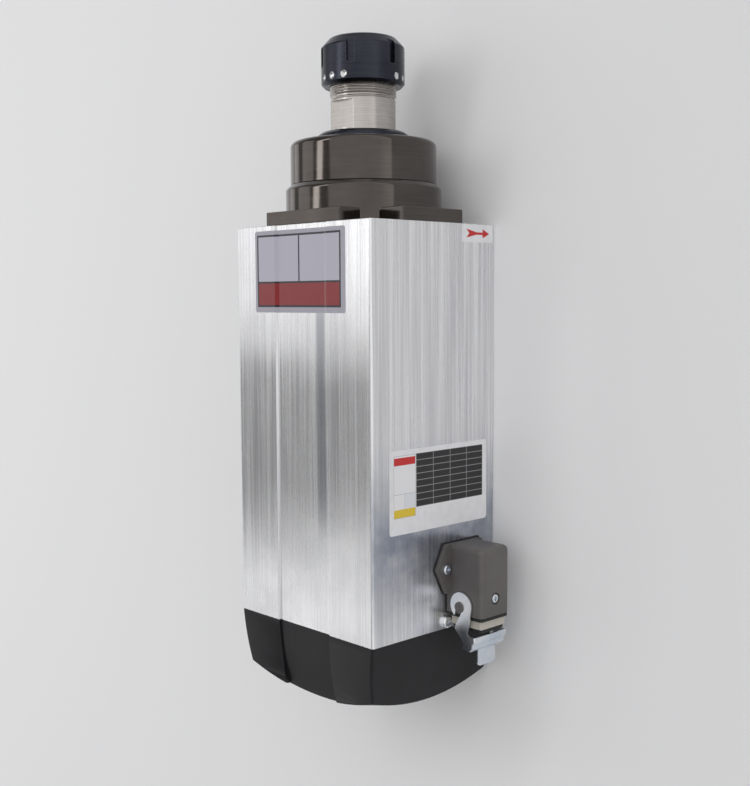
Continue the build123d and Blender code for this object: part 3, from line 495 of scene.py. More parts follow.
def edgeWearAndHighlight(tree, radius, amount):
    # 1 on edges narrower than the radius, broken up by noise; it marks worn edges, and on the aluminium also a painted
    # highlight
    rounded = addNode(tree, "ShaderNodeBevel", {"samples": 4}, Radius=radius * mm).outputs[0]
    flat = addNode(tree, "ShaderNodeNewGeometry").outputs["True Normal"]
    same = addNode(tree, "ShaderNodeVectorMath", {"operation": "DOT_PRODUCT"}, i0=rounded, i1=flat).outputs["Value"]
    edge = ramp(tree, same, 0.985, 0.80, 0, amount)
    return times(tree, edge, ramp(tree, noiseOn(tree, 380.0, 3.0), 0.35, 0.6, 0.35, 1.0))


def blend(tree, factor, first, second):
    # first is a socket, second a socket or a colour
    mix = addNode(tree, "ShaderNodeMix", {"data_type": "RGBA"}, Factor=factor)
    tree.links.new(first, mix.inputs[6])
    if isinstance(second, bpy.types.NodeSocket):
        tree.links.new(second, mix.inputs[7])
    else:
        mix.inputs[7].default_value = (*second, 1)
    return mix.outputs[2]


def axesOf(tree):
    coordinates = addNode(tree, "ShaderNodeTexCoord").outputs["Object"]
    return addNode(tree, "ShaderNodeSeparateXYZ", Vector=coordinates).outputs


def brushedAluminium():
    # Extruded sides brushed lengthwise: fine streaks along X; a darker blue-grey mottled zone on the +Y side by the
    # plug, partly real mottling and partly a painted dark reflection; a painted dark reflection on the top groove's
    # floor beside its +Y wall; edges brightened, partly wear and partly a painted highlight
    material, tree, shader = newMaterial("brushedAluminium", (0.80, 0.80, 0.82), 1.0, 0.26, Anisotropic=0.85)
    tangent = addNode(tree, "ShaderNodeTangent", {"direction_type": "RADIAL", "axis": "X"})
    tree.links.new(tangent.outputs[0], shader.inputs["Tangent"])
    fine = noiseOn(tree, 1.0, 2.0, (11, 2100, 2100))
    middle = noiseOn(tree, 1.0, 3.0, (7, 640, 640))
    coarse = noiseOn(tree, 1.0, 2.0, (3, 170, 170))
    streaks = plus(tree, times(tree, fine, 0.34), times(tree, middle, 0.42))
    streaks = plus(tree, streaks, times(tree, coarse, 0.24))
    color = tint(tree, ramp(tree, streaks, 0.40, 0.60, 0, 1), (0.66, 0.66, 0.68), (0.93, 0.93, 0.94))
    x, y, z = axesOf(tree)
    # Darker mottled zone on the +Y side by the plug: partly real mottling, partly a painted dark reflection
    mottleAndReflectionZone = times(tree, bandMask(tree, x, 0.264, 0.325, 0.034), bandMask(tree, y, 0.0592, 0.0608))
    mottled = ramp(tree, noiseOn(tree, 95.0, 5.0), 0.30, 0.66, 0.55, 1.0)
    color = blend(tree, times(tree, mottleAndReflectionZone, mottled), color, (0.30, 0.33, 0.40))
    # Painted dark reflection: a darker band on the top groove's floor beside its +Y wall, between X 150 and 285 mm
    grooveReflection = times(tree, bandMask(tree, y, 0.0128, 0.0202, 0.0012), bandMask(tree, z, 0.0492, 0.0505))
    grooveReflection = times(tree, grooveReflection, bandMask(tree, x, 0.150, 0.285, 0.022))
    color = blend(tree, times(tree, grooveReflection, 0.62), color, (0.27, 0.29, 0.32))
    # Edges brightened almost to white: partly worn metal, partly a painted highlight
    color = blend(tree, edgeWearAndHighlight(tree, 0.45, 0.45), color, (0.97, 0.97, 0.98))
    smudges = ramp(tree, noiseOn(tree, 28.0, 4.0), 0.35, 0.7, -0.03, 0.05)
    feed(tree, shader, color, plus(tree, ramp(tree, streaks, 0.38, 0.62, 0.20, 0.30), smudges))
    bump(tree, shader, streaks, 0.3, 0.03)
    return material


def turnedMetal(name, dark, light, roughLow, roughHigh, ringScale=2600, strength=0.15, worn=None, **extra):
    # Fine rings left by turning, which run round the axis, so they vary along X
    material, tree, shader = newMaterial(name, dark, 1.0, roughLow, **extra)
    rings = noiseOn(tree, 1.0, 2.0, (ringScale, 30, 30))
    patches = noiseOn(tree, 45.0, 4.0)
    shadeFactor = plus(tree, times(tree, rings, 0.4), times(tree, patches, 0.6))
    color = tint(tree, ramp(tree, shadeFactor, 0.35, 0.65, 0, 1), dark, light)
    if worn:
        color = blend(tree, edgeWearAndHighlight(tree, 0.35, 0.8), color, worn)
    feed(tree, shader, color, ramp(tree, shadeFactor, 0.35, 0.65, roughLow, roughHigh))
    bump(tree, shader, rings, strength, 0.02)
    return material


def grainy(name, dark, light, metallic, roughLow, roughHigh, scale, strength, depth, worn=None, **extra):
    # Fine all-over grain: moulded plastic, powder coat, casting skin
    material, tree, shader = newMaterial(name, dark, metallic, roughLow, **extra)
    grain = noiseOn(tree, scale, 2.0)
    patches = noiseOn(tree, 60.0, 3.0)
    color = tint(tree, ramp(tree, patches, 0.35, 0.65, 0, 1), dark, light)
    if worn:
        color = blend(tree, edgeWearAndHighlight(tree, 0.4, 0.7), color, worn)
    feed(tree, shader, color, ramp(tree, patches, 0.3, 0.7, roughLow, roughHigh))
    bump(tree, shader, grain, strength, depth)
    return material


def printed(name, ground, fields, axes, roughness=0.35, grid=None):
    # A label: fields are (a0, a1, b0, b1, colour) in mm on two of the axes, painted one over the other
    material, tree, shader = newMaterial(name, ground, 0.0, roughness)
    split = axesOf(tree)
    first, second = split["XYZ".index(axes[0])], split["XYZ".index(axes[1])]

    def inside(a0, a1, b0, b1):
        return times(tree, bandMask(tree, first, a0 * mm, a1 * mm), bandMask(tree, second, b0 * mm, b1 * mm))

    paper = ramp(tree, noiseOn(tree, 240.0, 3.0), 0.35, 0.65, 0, 1)
    color = tint(tree, paper, [0.94 * v for v in ground], ground)
    for a0, a1, b0, b1, fieldColor in fields:
        color = blend(tree, inside(a0, a1, b0, b1), color, fieldColor)
    if grid:
        a0, a1, stepA, b0, b1, stepB, width, lineColor = grid
        lineA = mathNode(tree, "PINGPONG", mathNode(tree, "SUBTRACT", first, a0 * mm), stepA * mm / 2)
        lineB = mathNode(tree, "PINGPONG", mathNode(tree, "SUBTRACT", second, b0 * mm), stepB * mm / 2)
        onLine = mathNode(tree, "LESS_THAN", mathNode(tree, "MINIMUM", lineA, lineB), width / 2 * mm)
        color = blend(tree, times(tree, onLine, inside(a0, a1, b0, b1)), color, lineColor)
    feed(tree, shader, color, ramp(tree, paper, 0, 1, roughness - 0.04, roughness + 0.05))
    bump(tree, shader, noiseOn(tree, 900.0, 2.0), 0.08, 0.01)
    return material


def coreSheets():
    # Stacked electrical steel, one thin line for each sheet
    material, tree, shader = newMaterial("coreSheets", (0.34, 0.34, 0.36), 1.0, 0.45)
    coordinates = addNode(tree, "ShaderNodeTexCoord").outputs["Object"]
    waves = addNode(tree, "ShaderNodeTexWave", {"wave_type": "BANDS", "bands_direction": "X"},
                    Vector=coordinates, Scale=630.0, Distortion=0.0)
    feed(tree, shader, tint(tree, waves.outputs["Fac"], (0.16, 0.16, 0.17), (0.42, 0.42, 0.44)))
    bump(tree, shader, waves.outputs["Fac"], 0.4, 0.05)
    return material


def woundCopper():
    # Varnished wire ends, bundled round the axis
    material, tree, shader = newMaterial("woundCopper", (0.55, 0.24, 0.10), 0.6, 0.35)
    strands = noiseOn(tree, 1.0, 4.0, (1400, 220, 220))
    feed(tree, shader, tint(tree, ramp(tree, strands, 0.35, 0.65, 0, 1), (0.30, 0.10, 0.04), (0.72, 0.34, 0.15)))
    bump(tree, shader, strands, 0.6, 0.2)
    return material


finishes = {
    "brushed_aluminium": brushedAluminium(),
    "black_nickel": turnedMetal("blackNickel", (0.082, 0.071, 0.065), (0.112, 0.100, 0.092), 0.08, 0.14, 1800, 0.04,
                                (0.40, 0.36, 0.33)),
    "black_screw_steel": grainy("screwBlack", (0.035, 0.035, 0.04), (0.06, 0.06, 0.065), 0.8, 0.35, 0.5, 900, 0.15,
                                0.03, (0.25, 0.25, 0.26)),
    "black_oxide": turnedMetal("blackOxide", (0.030, 0.033, 0.044), (0.048, 0.051, 0.064), 0.24, 0.34, 2200, 0.08,
                               (0.22, 0.22, 0.25)),
    "ground_steel": turnedMetal("groundSteel", (0.38, 0.35, 0.33), (0.56, 0.53, 0.50), 0.22, 0.34, 2600, 0.2,
                                (0.80, 0.78, 0.76)),
    "collet_steel": turnedMetal("colletSteel", (0.52, 0.52, 0.53), (0.66, 0.66, 0.67), 0.2, 0.3, 2400, 0.1,
                                (0.85, 0.85, 0.86)),
    "bearing_steel": turnedMetal("bearingSteel", (0.62, 0.62, 0.63), (0.74, 0.74, 0.75), 0.12, 0.2, 2400, 0.05),
    "cage_plastic": grainy("cagePlastic", (0.42, 0.24, 0.11), (0.5, 0.3, 0.15), 0.0, 0.4, 0.55, 1200, 0.1, 0.02),
    "core_steel": coreSheets(),
    "winding_copper": woundCopper(),
    "cast_aluminium": grainy("castAluminium", (0.50, 0.50, 0.51), (0.62, 0.62, 0.63), 1.0, 0.38, 0.52, 700, 0.3, 0.06),
    "fan_plastic": grainy("fanPlastic", (0.03, 0.03, 0.033), (0.045, 0.045, 0.05), 0.0, 0.42, 0.55, 900, 0.15, 0.04),
    "black_cover": grainy("coverPlastic", (0.0085, 0.0085, 0.010), (0.014, 0.0135, 0.016), 0.0, 0.38, 0.50, 1500, 0.12,
                          0.03, (0.04, 0.04, 0.043), **{"Specular IOR Level": 0.28}),
    "zinc_plate": grainy("zincPlate", (0.66, 0.72, 0.80), (0.88, 0.90, 0.92), 1.0, 0.26, 0.42, 500, 0.08, 0.03,
                         (0.97, 0.97, 0.98)),
    "black_rubber": grainy("blackRubber", (0.008, 0.008, 0.008), (0.014, 0.014, 0.014), 0.0, 0.6, 0.72, 1400, 0.2,
                           0.03),
    "grey_enamel": grainy("greyEnamel", (0.096, 0.089, 0.086), (0.118, 0.110, 0.106), 0.0, 0.36, 0.46, 1100, 0.18, 0.04,
                          (0.30, 0.28, 0.26)),
    "light_grey_plastic": grainy("lightGreyPlastic", (0.46, 0.43, 0.38), (0.54, 0.51, 0.455), 0.0, 0.42, 0.52, 1200,
                                 0.1, 0.03),
    "contact_brass": turnedMetal("contactBrass", (0.66, 0.52, 0.26), (0.82, 0.68, 0.38), 0.18, 0.28, 2600, 0.1),
}
print("stage: materials ready")


# Motor casing: an extrusion with a shallow wide groove in its top and bottom

foilSizes = {"x": (115.0, 163.4), "y": (-41.6, 39.6), "level": 51.0, "thick": 0.14, "foot": 20.4, "edge": 23.3}
casingSizes = {
    "bandWidth": 46.0, "bandDepth": 1.3, "edgeRadius": 1.5, "boreRadius": 46.0, "sleeveRadius": 50.0,
    "channelY": (36.0, 56.0), "channelZ": (28.0, 47.0),
    "holeX": 154.5, "holePitch": 61.5, "rowSpacing": 38.0, "holeRadius": 3.95, "holeDepth": 14.0,
    "mouthRadius": 4.45, "mouthDepth": 0.55, "threadPitch": 1.25, "threadDepth": 0.55,
    "lockX": 236.0, "lockRadius": 3.05, "cableHoleX": 316.0, "cableHoleRadius": 7.0, "cableHoleZ": -20.5,
}


def casingOutline(high):
    s = casingSizes
    y, z = high.y, high.z
    half, floor, edge = s["bandWidth"] / 2, high.z - s["bandDepth"], s["edgeRadius"]
    corners = [(y, -z, edge), (y, z, edge), (half, z, 0.6), (half, floor, 0.25), (-half, floor, 0.25),
               (-half, z, 0.6), (-y, z, edge), (-y, -z, edge), (-half, -z, 0.6), (-half, -floor, 0.25),
               (half, -floor, 0.25), (half, -z, 0.6)]
    return roundedPath(corners, 5)


def channelOutline(sideY, sideZ):
    (y0, y1), (z0, z1), radius = casingSizes["channelY"], casingSizes["channelZ"], casingSizes["sleeveRadius"]
    first = math.degrees(math.asin(z0 / radius))
    last = math.degrees(math.acos(y0 / radius))
    corners = [(y0, z1, 1.0), (y1, z1, 1.0), (y1, z0, 1.0)] + arcPoints(radius, first, last, 6)
    return [(sideY * y, sideZ * z) for y, z in roundedPath(corners, 3)]


def drillAlongY(name, x, z, yOpen, yFloor, radius, mouthRadius=None, mouthDepth=0.5):
    # Round cutter from a side face inwards, with a countersunk mouth
    sign = -1 if yOpen < 0 else 1
    start = yOpen + sign * 0.5
    profile = [(start, 0), (start, radius)]
    if mouthRadius:
        slope = (mouthRadius - radius) / mouthDepth
        profile = [(start, 0), (start, mouthRadius + slope * 0.5), (yOpen - sign * mouthDepth, radius)]
    profile += [(yFloor, radius), (yFloor, 0)]
    cutter = lathe(name, profile, 40, 2, False)
    cutter.data.transform(Matrix.Translation((x * mm, 0, z * mm)) @ Matrix.Rotation(math.pi / 2, 4, "Z"))
    return closedNormals(cutter)


def closedNormals(obj):
    # Joins seams, fills open ends and turns all faces outwards
    with editing(obj.data) as mesh:
        bmesh.ops.remove_doubles(mesh, verts=mesh.verts, dist=1e-7)
        bmesh.ops.holes_fill(mesh, edges=mesh.edges)
        bmesh.ops.recalc_face_normals(mesh, faces=mesh.faces)
    return obj


def makeCasing():
    s = casingSizes
    low, high = boxInMm("motor_casing")
    loops = [casingOutline(high), arcPoints(s["boreRadius"], 0, 360, 128)[:-1]]
    loops += [channelOutline(sideY, sideZ) for sideY in (-1, 1) for sideZ in (-1, 1)]
    casing = slab("motorCasing", loops, low.x, high.x, toX, 0.35)
    hole = drillAlongY("holeCutter", 0, 0, low.y, low.y + s["holeDepth"], s["holeRadius"],
                       s["mouthRadius"], s["mouthDepth"])
    half = s["rowSpacing"] / 2
    applyTree(hole, treeGrid, CountA=3, CountB=2, Start=(s["holeX"] * mm, 0, -half * mm),
              StepA=(s["holePitch"] * mm, 0, 0), StepB=(0, 0, s["rowSpacing"] * mm))
    combine(casing, closedNormals(hole))
    lock = drillAlongY("lockCutter", 0, 0, low.y, -30, s["lockRadius"], s["lockRadius"] + 0.6, 0.5)
    applyTree(lock, treeGrid, CountA=1, CountB=2, Start=(s["lockX"] * mm, 0, -half * mm),
              StepB=(0, 0, s["rowSpacing"] * mm))
    combine(casing, closedNormals(lock))
    combine(casing, drillAlongY("cableCutter", s["cableHoleX"], s["cableHoleZ"], high.y, 35, s["cableHoleRadius"]))
    screwLow, screwHigh = boxInMm("earth_screw")
    middle = (screwLow + screwHigh) / 2
    combine(casing, drillAlongY("earthCutter", middle.x, middle.z, high.y, screwLow.y - 1, 2.05))
    foil = foilSizes
    seat = foil["level"] - foil["thick"]
    (x0, x1), (y0, y1), gap = foil["x"], foil["y"], 0.06
    combine(casing, slab("foilSeat", [rectLoop(x0 - gap, x1 + gap, y0 - gap, y1 + gap, 1.5)], seat, high.z + 1, toZ))
    finishPiece(casing, 30, "brushed_aluminium", "motor_body", "motor_casing")


def makeHoleThreads():
    s = casingSizes
    low = boxInMm("motor_casing")[0]
    seed = newObject("mountingHoleThreads", bpy.data.meshes.new("mountingHoleThreads"))
    length = s["holeDepth"] - 2.2
    applyTree(seed, treeThread, Radius=s["holeRadius"] * mm, Pitch=s["threadPitch"] * mm, Length=length * mm,
              Depth=-s["threadDepth"] * mm, Steps=40, Material=finishes["brushed_aluminium"])
    seed.data.transform(Matrix.Translation((0, (low.y + 0.8) * mm, 0)) @ Matrix.Rotation(-math.pi / 2, 4, "X"))
    closedNormals(seed)
    half = s["rowSpacing"] / 2
    applyTree(seed, treeGrid, CountA=3, CountB=2, Start=(s["holeX"] * mm, 0, -half * mm),
              StepA=(s["holePitch"] * mm, 0, 0), StepB=(0, 0, s["rowSpacing"] * mm),
              Material=finishes["brushed_aluminium"])
    finishPiece(seed, 50, "brushed_aluminium", "motor_body")


makeCasing()
makeHoleThreads()
print("stage: casing ready")


# Front end: cross plate with its boss, bearing cap and dust ring

frontSizes = {
    "plateThick": 8.0, "tabY": 33.0, "tabZ": 25.0, "screwSeat": 3.0, "plateScrews": (
        {"y": 51.0, "z": 19.0, "pocket": 4.55, "hole": 2.55, "screw": (2.5, 4.25, 2.3, 12)},
        {"y": 28.5, "z": 42.5, "pocket": 3.7, "hole": 2.05, "screw": (2.0, 3.4, 1.75, 12)}),
    "bossRadius": 47.0, "bossChamfer": 3.0, "spigotRadius": 45.98, "seatRadius": 31.02,
    "capRadius": 44.0, "capRound": 3.5, "capBore": 22.62, "capSpigot": 30.98, "capInside": (27, 25),
    "screwCircle": 37.0, "screwSunk": 6.0, "capPocket": 4.55, "capHole": 2.55, "capScrew": (2.5, 4.25, 2.3, 28),
}


def plateOutline(acrossY, acrossZ):
    s = frontSizes
    radius = s["bossRadius"]
    first = math.degrees(math.asin(s["tabZ"] / radius))
    last = math.degrees(math.acos(s["tabY"] / radius))
    quarter = [(acrossY, s["tabZ"], 1.2)] + arcPoints(radius, first, last, 5) + [(s["tabY"], acrossZ, 1.2)]
    points = []
    for sideY, sideZ in ((1, 1), (-1, 1), (-1, -1), (1, -1)):
        part = [(sideY * c[0], sideZ * c[1], *c[2:]) for c in quarter]
        points += part if sideY * sideZ > 0 else part[::-1]
    return roundedPath(points, 4)


def drillAlongX(name, x0, x1, radius, y, z, seatX=None, seatRadius=None):
    profile = [(x0, 0), (x0, radius), (x1, radius), (x1, 0)]
    if seatX is not None:
        profile = [(x0, 0), (x0, seatRadius), (seatX, seatRadius), (seatX, radius), (x1, radius), (x1, 0)]
    cutter = lathe(name, profile, 40, 2, False)
    cutter.data.transform(Matrix.Translation((0, y * mm, z * mm)))
    return closedNormals(cutter)


def makeShield():
    s = frontSizes
    low, high = boxInMm("front_end_shield")
    casingFront = boxInMm("motor_casing")[0].x
    plateFront = casingFront - s["plateThick"]
    radius, chamfer = s["bossRadius"], s["bossChamfer"]
    shield = slab("frontEndShield", [plateOutline(high.y, high.z)], plateFront, casingFront, toX, 0.45)
    boss = lathe("boss", [(low.x, s["seatRadius"]), (low.x, radius - chamfer, 1.6), (low.x + chamfer, radius, 2.4),
                          (plateFront + 2, radius), (plateFront + 2, s["spigotRadius"]),
                          (high.x, s["spigotRadius"], 0.5), (high.x, s["seatRadius"])], 160, 5)
    combine(shield, boss, "UNION")
    combine(shield, drillAlongX("shieldBore", low.x - 1, high.x + 1, s["seatRadius"], 0, 0))
    for sizes in s["plateScrews"]:
        y, z = sizes["y"], sizes["z"]
        cutter = drillAlongX("screwPocket", plateFront - 1, casingFront + 1, sizes["hole"], -y, -z,
                             casingFront - s["screwSeat"], sizes["pocket"])
        applyTree(cutter, treeGrid, CountA=2, CountB=2, StepA=(0, 2 * y * mm, 0), StepB=(0, 0, 2 * z * mm))
        combine(shield, closedNormals(cutter))
    finishPiece(shield, 30, "black_nickel", "motor_body", "front_end_shield")


def makeCap():
    s = frontSizes
    low, high = boxInMm("front_bearing_cap")
    seat = boxInMm("front_end_shield")[0].x
    radius, hub, spigot, (rearBore, floorBore) = s["capRadius"], s["capBore"], s["capSpigot"], s["capInside"]
    cap = lathe("frontBearingCap", [(low.x, hub, 0.5), (low.x, radius, s["capRound"]), (seat, radius, 0.25),
                                    (seat, spigot), (high.x, spigot, 0.3), (high.x, rearBore), (seat, floorBore),
                                    (seat, hub)], 160, 7)
    cutter = drillAlongX("capPocket", low.x - 1, seat + 1, s["capHole"], s["screwCircle"], 0,
                         low.x + s["screwSunk"], s["capPocket"])
    applyTree(cutter, treeRing, Count=6, StartDegrees=30.0, StepDegrees=60.0)
    combine(cap, closedNormals(cutter))
    finishPiece(cap, 30, "black_nickel", "motor_body", "front_bearing_cap")


def makeDustRing():
    low, high = boxInMm("dust_ring")
    radius, rear = high.y, boxInMm("front_bearing_cap")[0].x - 0.4
    ring = lathe("dustRing", [(low.x, 17.52), (low.x, radius - 3, 0.8), (low.x + 1.6, radius - 0.7, 1.0),
                              (low.x + 2.8, radius, 0.8), (rear, radius, 0.4), (rear, 22.5), (high.x, 22.5),
                              (high.x, 17.52)], 128, 4)
    finishPiece(ring, 35, "black_oxide", "rotor", "dust_ring")


makeShield()
makeCap()
makeDustRing()
print("stage: front end ready")


# Spindle shaft, collet and nut

noseSizes = {
    "neckRadius": 19.5, "flats": 34.0, "flatGap": 1.5, "threadRadius": 20.0, "threadPitch": 1.5, "threadDepth": 0.85,
    "nutRadius": 25.0, "nutFaceRadius": 19.4, "nutChamfer": 5.6, "slotWidth": 5.0, "slotDepth": 2.0,
    "slotLength": 17.5, "dimpleRadius": 2.2, "dimpleDepth": 1.6, "dimpleInset": 4.5, "dimpleStep": 20.0,
    "slitWidth": 1.0, "slitEnd": 7.0, "slitTurn": 7.5,
    # turned profiles as (x, radius[, rounding])
    "shaftRear": [(131, 17.5), (131, 16.5), (328, 16.5), (328, 12.5), (346, 12.5), (346, 10)],
    "shaftBore": [(67, 0), (63, 7.7), (43, 7.7), (43, 11.7)], "shaftMouth": 16.36, "tapRadius": 3.05, "tapDepth": 19,
    "nutInside": [(9.7, 20.06), (9.7, 16.75), (8.6, 16.75), (4.6, 14.45), (4.3, 12.75), (2.5, 12.75), (2.5, 13.95)],
    "colletFront": [(0, 12.8, 0.6), (1.8, 13.6, 0.3), (2.2, 13.6), (2.2, 12.4), (4.6, 12.4), (4.6, 14.2, 0.2),
                    (8.58, 16.5, 0.5)], "colletTail": 12.08, "colletBore": 6,
}


def makeShaft():
    s = noseSizes
    low, high = boxInMm("spindle_shaft")
    nutRear = boxInMm("collet_nut")[1].x
    neckRear = boxInMm("dust_ring")[0].x
    threadEnd = nutRear + 7.0
    core = s["threadRadius"] - s["threadDepth"]
    neck = s["neckRadius"]
    tapX, tap, rear = high.x - s["tapDepth"], s["tapRadius"], s["shaftRear"]
    shaft = lathe("spindleShaft", [
        (low.x, s["shaftMouth"]), (low.x, 18.8), (low.x + 0.8, core), (threadEnd - 0.6, core),
        (threadEnd, core - 0.5, 0.3), (threadEnd + 0.5, neck - 0.6), (threadEnd + 0.9, neck, 0.3),
        (neckRear, neck, 0.2), (neckRear, rear[0][1]), *rear, (high.x, rear[-1][1], 0.5), (high.x, tap),
        (tapX, tap), (tapX, 0), *s["shaftBore"]], 128, 3)
    flatFront = threadEnd + 0.5 + s["flatGap"]
    flatRear = neckRear - s["flatGap"]
    for side in (-1, 1):
        near, far = sorted((side * s["flats"] / 2, side * 24))
        cutter = slab("flatCutter", [rectLoop(flatFront, flatRear, -22, 22, 0.8)], near, far, toZ)
        combine(shaft, cutter)
    finishPiece(shaft, 30, "ground_steel", "rotor", "spindle_shaft")
    thread = newObject("noseThread", bpy.data.meshes.new("noseThread"))
    start = low.x + 1.2
    applyTree(thread, treeThread, Radius=core * mm, Pitch=s["threadPitch"] * mm, Length=(threadEnd - 1.2 - start) * mm,
              Depth=s["threadDepth"] * mm, Steps=96, Material=finishes["ground_steel"])
    thread.data.transform(Matrix.Translation((start * mm, 0, 0)) @ Matrix.Rotation(math.pi / 2, 4, "Y"))
    closedNormals(thread)
    finishPiece(thread, 60, "ground_steel", "rotor")


def makeNut():
    s = noseSizes
    low, high = boxInMm("collet_nut")
    radius, face, inside = s["nutRadius"], s["nutFaceRadius"], s["nutInside"]
    bodyFront = low.x + s["nutChamfer"]
    nut = lathe("colletNut", [
        (low.x, inside[-1][1], 0.4), (low.x, face, 0.6), (low.x + 0.6, face + 1.0, 0.8), (bodyFront, radius, 2.0),
        (high.x - 1.8, radius, 0.5), (high.x, radius - 1.8, 0.35), (high.x, inside[0][1], 0.3), *inside], 192, 5)
    floor = radius - s["slotDepth"]
    half = s["slotWidth"] / 2
    end = low.x + s["slotLength"]
    outline = [(low.x - 2, -half), (end, -half, 1.6), (end, half, 1.6), (low.x - 2, half)]
    slot = slab("slotCutter", [roundedPath(outline, 5)], floor, floor + 4, toZ)
    applyTree(slot, treeRing, Count=6, StartDegrees=90.0, StepDegrees=60.0)
    combine(nut, closedNormals(slot))
    dimple = lathe("dimpleCutter", [(0, 0), (0.9, s["dimpleRadius"], 0.3), (4, s["dimpleRadius"]), (4, 0)],
                   32, 3, False)
    spot = Vector(((high.x - s["dimpleInset"]) * mm, 0, (radius - s["dimpleDepth"]) * mm))
    dimple.data.transform(Matrix.Translation(spot) @ Matrix.Rotation(-math.pi / 2, 4, "Y"))
    applyTree(dimple, treeRing, Count=3, StartDegrees=-s["dimpleStep"], StepDegrees=s["dimpleStep"])
    applyTree(dimple, treeRing, Count=3, StartDegrees=120.0, StepDegrees=120.0)
    combine(nut, closedNormals(dimple))
    shade(nut, 28)
    paint(nut, finishes["black_oxide"])
    nut.data.materials.append(finishes["bearing_steel"])
    holeX = high.x - s["dimpleInset"]
    for face in nut.data.polygons:      # the spanner holes are bare steel
        middle = face.center / mm
        inHole = math.hypot(middle.y, middle.z) < radius - 0.2 and abs(middle.x - holeX) < s["dimpleRadius"]
        face.material_index = 1 if inHole and math.hypot(middle.y, middle.z) > floor - 1 else 0
    place(nut, "clamping_nut", "collet_nut")


def makeCollet():
    s = noseSizes
    low, high = boxInMm("collet")
    bore = s["colletBore"]
    collet = lathe("springCollet", [(0, bore, 0.25), *s["colletFront"], (high.x, s["colletTail"], 0.6),
                                    (high.x, bore, 0.25)], 144, 3)
    for first, begin in ((0, -1.0), (1, s["slitEnd"])):
        end = begin + high.x - s["slitEnd"] + 1
        cutter = slab("slitCutter", [rectLoop(begin, end, 0, 24)], -s["slitWidth"] / 2, s["slitWidth"] / 2, toZ)
        applyTree(cutter, treeRing, Count=6, StartDegrees=s["slitTurn"] + 30.0 * first, StepDegrees=60.0)
        combine(collet, closedNormals(cutter))
    finishPiece(collet, 30, "collet_steel", "clamping_collet", "collet")


makeShaft()
makeNut()
makeCollet()
print("stage: nose ready")


# Rear cover and the plug, rounded over the solids: node, body, finish and edge rounding

softPieces = {
    "fanCover": ("fan_cover", "motor_body", "black_cover", 0.3),
    "plugGasket": ("plug_gasket", "motor_body", "black_rubber", 0.12),
    "plugHousing": ("plug_housing", "motor_body", "grey_enamel", 0.25),
    "plugInsert": ("plug_insert", "motor_body", "light_grey_plastic", 0.2),
    "rimSeal": ("rim_seal", "motor_body", "black_rubber", 0.2),
    "contactCarrier": ("contact_carrier", "motor_body", "black_rubber", 0.12),
    "latchLever": ("latch_lever", "latch", "zinc_plate", 0.2),
    "latchPegs": ("latch_pegs", "motor_body", "grey_enamel", 0.2),
}


def softCopy(name, node, body, slotName, bevel):
    piece = copyOfNode(name, node)
    shade(piece, 30, bevel)
    paint(piece, finishes[slotName])
    return place(piece, body, node)


for name, values in softPieces.items():
    softCopy(name, *values)
print("stage: cover and plug ready")


# Bare labels: a foil that dips into the groove, a plate by the plug and an arrow for the turning direction

# Sizes of the black ring that is painted shade in the insert screw's recess
insertGapShade = {"inner": 2.66, "outer": 3.42, "depths": (1.15, 0.12)}
plateSizes = {"x": (240.3, 288.4), "z": (-43.9, 37.8), "thick": 0.2, "rounding": 1.8}
arrowSizes = {"x": (112.4, 122.7), "z": (-49.2, -22.1), "thick": 0.12}
labelColors = {
    "foil": (0.40, 0.39, 0.45), "cell": (0.47, 0.455, 0.53), "line": (0.018, 0.014, 0.026), "red": (0.25, 0.016, 0.020),
    "white": (0.78, 0.78, 0.80), "table": (0.014, 0.013, 0.013), "grid": (0.26, 0.26, 0.27), "grey": (0.42, 0.42, 0.45),
    "brightRed": (0.55, 0.02, 0.02), "yellow": (0.72, 0.52, 0.03), "pale": (0.70, 0.72, 0.76),
}


def finishLabel(obj, sharpDegrees, material):
    finishPiece(obj, sharpDegrees, "light_grey_plastic", "motor_body", material=material)


def makeFoil():
    # Drawn in (Y, Z) along X, then trimmed to its rounded outline
    f, c = foilSizes, labelColors
    (x0, x1), (y0, y1), level = f["x"], f["y"], f["level"]
    floor = boxInMm("motor_casing")[1].z - casingSizes["bandDepth"] + f["thick"] + 0.01
    upper = [(y0, level), (-f["edge"], level), (-f["foot"], floor), (f["foot"], floor), (f["edge"], level), (y1, level)]
    lower = [(y, z - f["thick"]) for y, z in reversed(upper)]
    sheet = slab("foilLabel", [upper + lower], x0 - 2, x1 + 2, toX)
    combine(sheet, slab("foilTrim", [rectLoop(x0, x1, y0, y1, 1.4)], floor - 2, level + 2, toZ), "INTERSECT")
    fields = [(117.4, 160.2, -39.7, 35.8, c["line"]), (118.6, 145.0, -38.5, -2.6, c["cell"]),
              (118.6, 145.0, -1.4, 34.6, c["cell"]), (146.1, 159.0, -38.5, 34.6, c["red"])]
    finishLabel(sheet, 20, printed("foilPrint", c["foil"], fields, "XY", 0.22))


def makePlate():
    p, c = plateSizes, labelColors
    (x0, x1), (z0, z1), top = p["x"], p["z"], boxInMm("motor_casing")[1].y
    plate = slab("dataPlate", [rectLoop(x0, x1, z0, z1, p["rounding"])], top, top + p["thick"], toY, 0.05, 1)
    fields = [(243.2, 274.0, -40.2, 16.6, c["table"]), (243.4, 278.9, 17.1, 34.4, c["grey"]),
              (243.65, 278.65, 17.35, 34.15, c["white"]), (244.6, 248.9, 17.35, 34.15, c["brightRed"]),
              (265.2, 265.45, 17.35, 34.15, c["grey"]), (265.45, 273.7, 25.6, 25.85, c["grey"]),
              (265.45, 273.7, 17.35, 25.6, c["pale"]), (273.95, 278.65, 17.35, 34.15, c["yellow"])]
    grid = (243.2, 274.0, 3.85, -40.2, 16.6, 14.2, 0.42, c["grid"])
    finishLabel(plate, 30, printed("platePrint", c["white"], fields, "XZ", 0.34, grid))


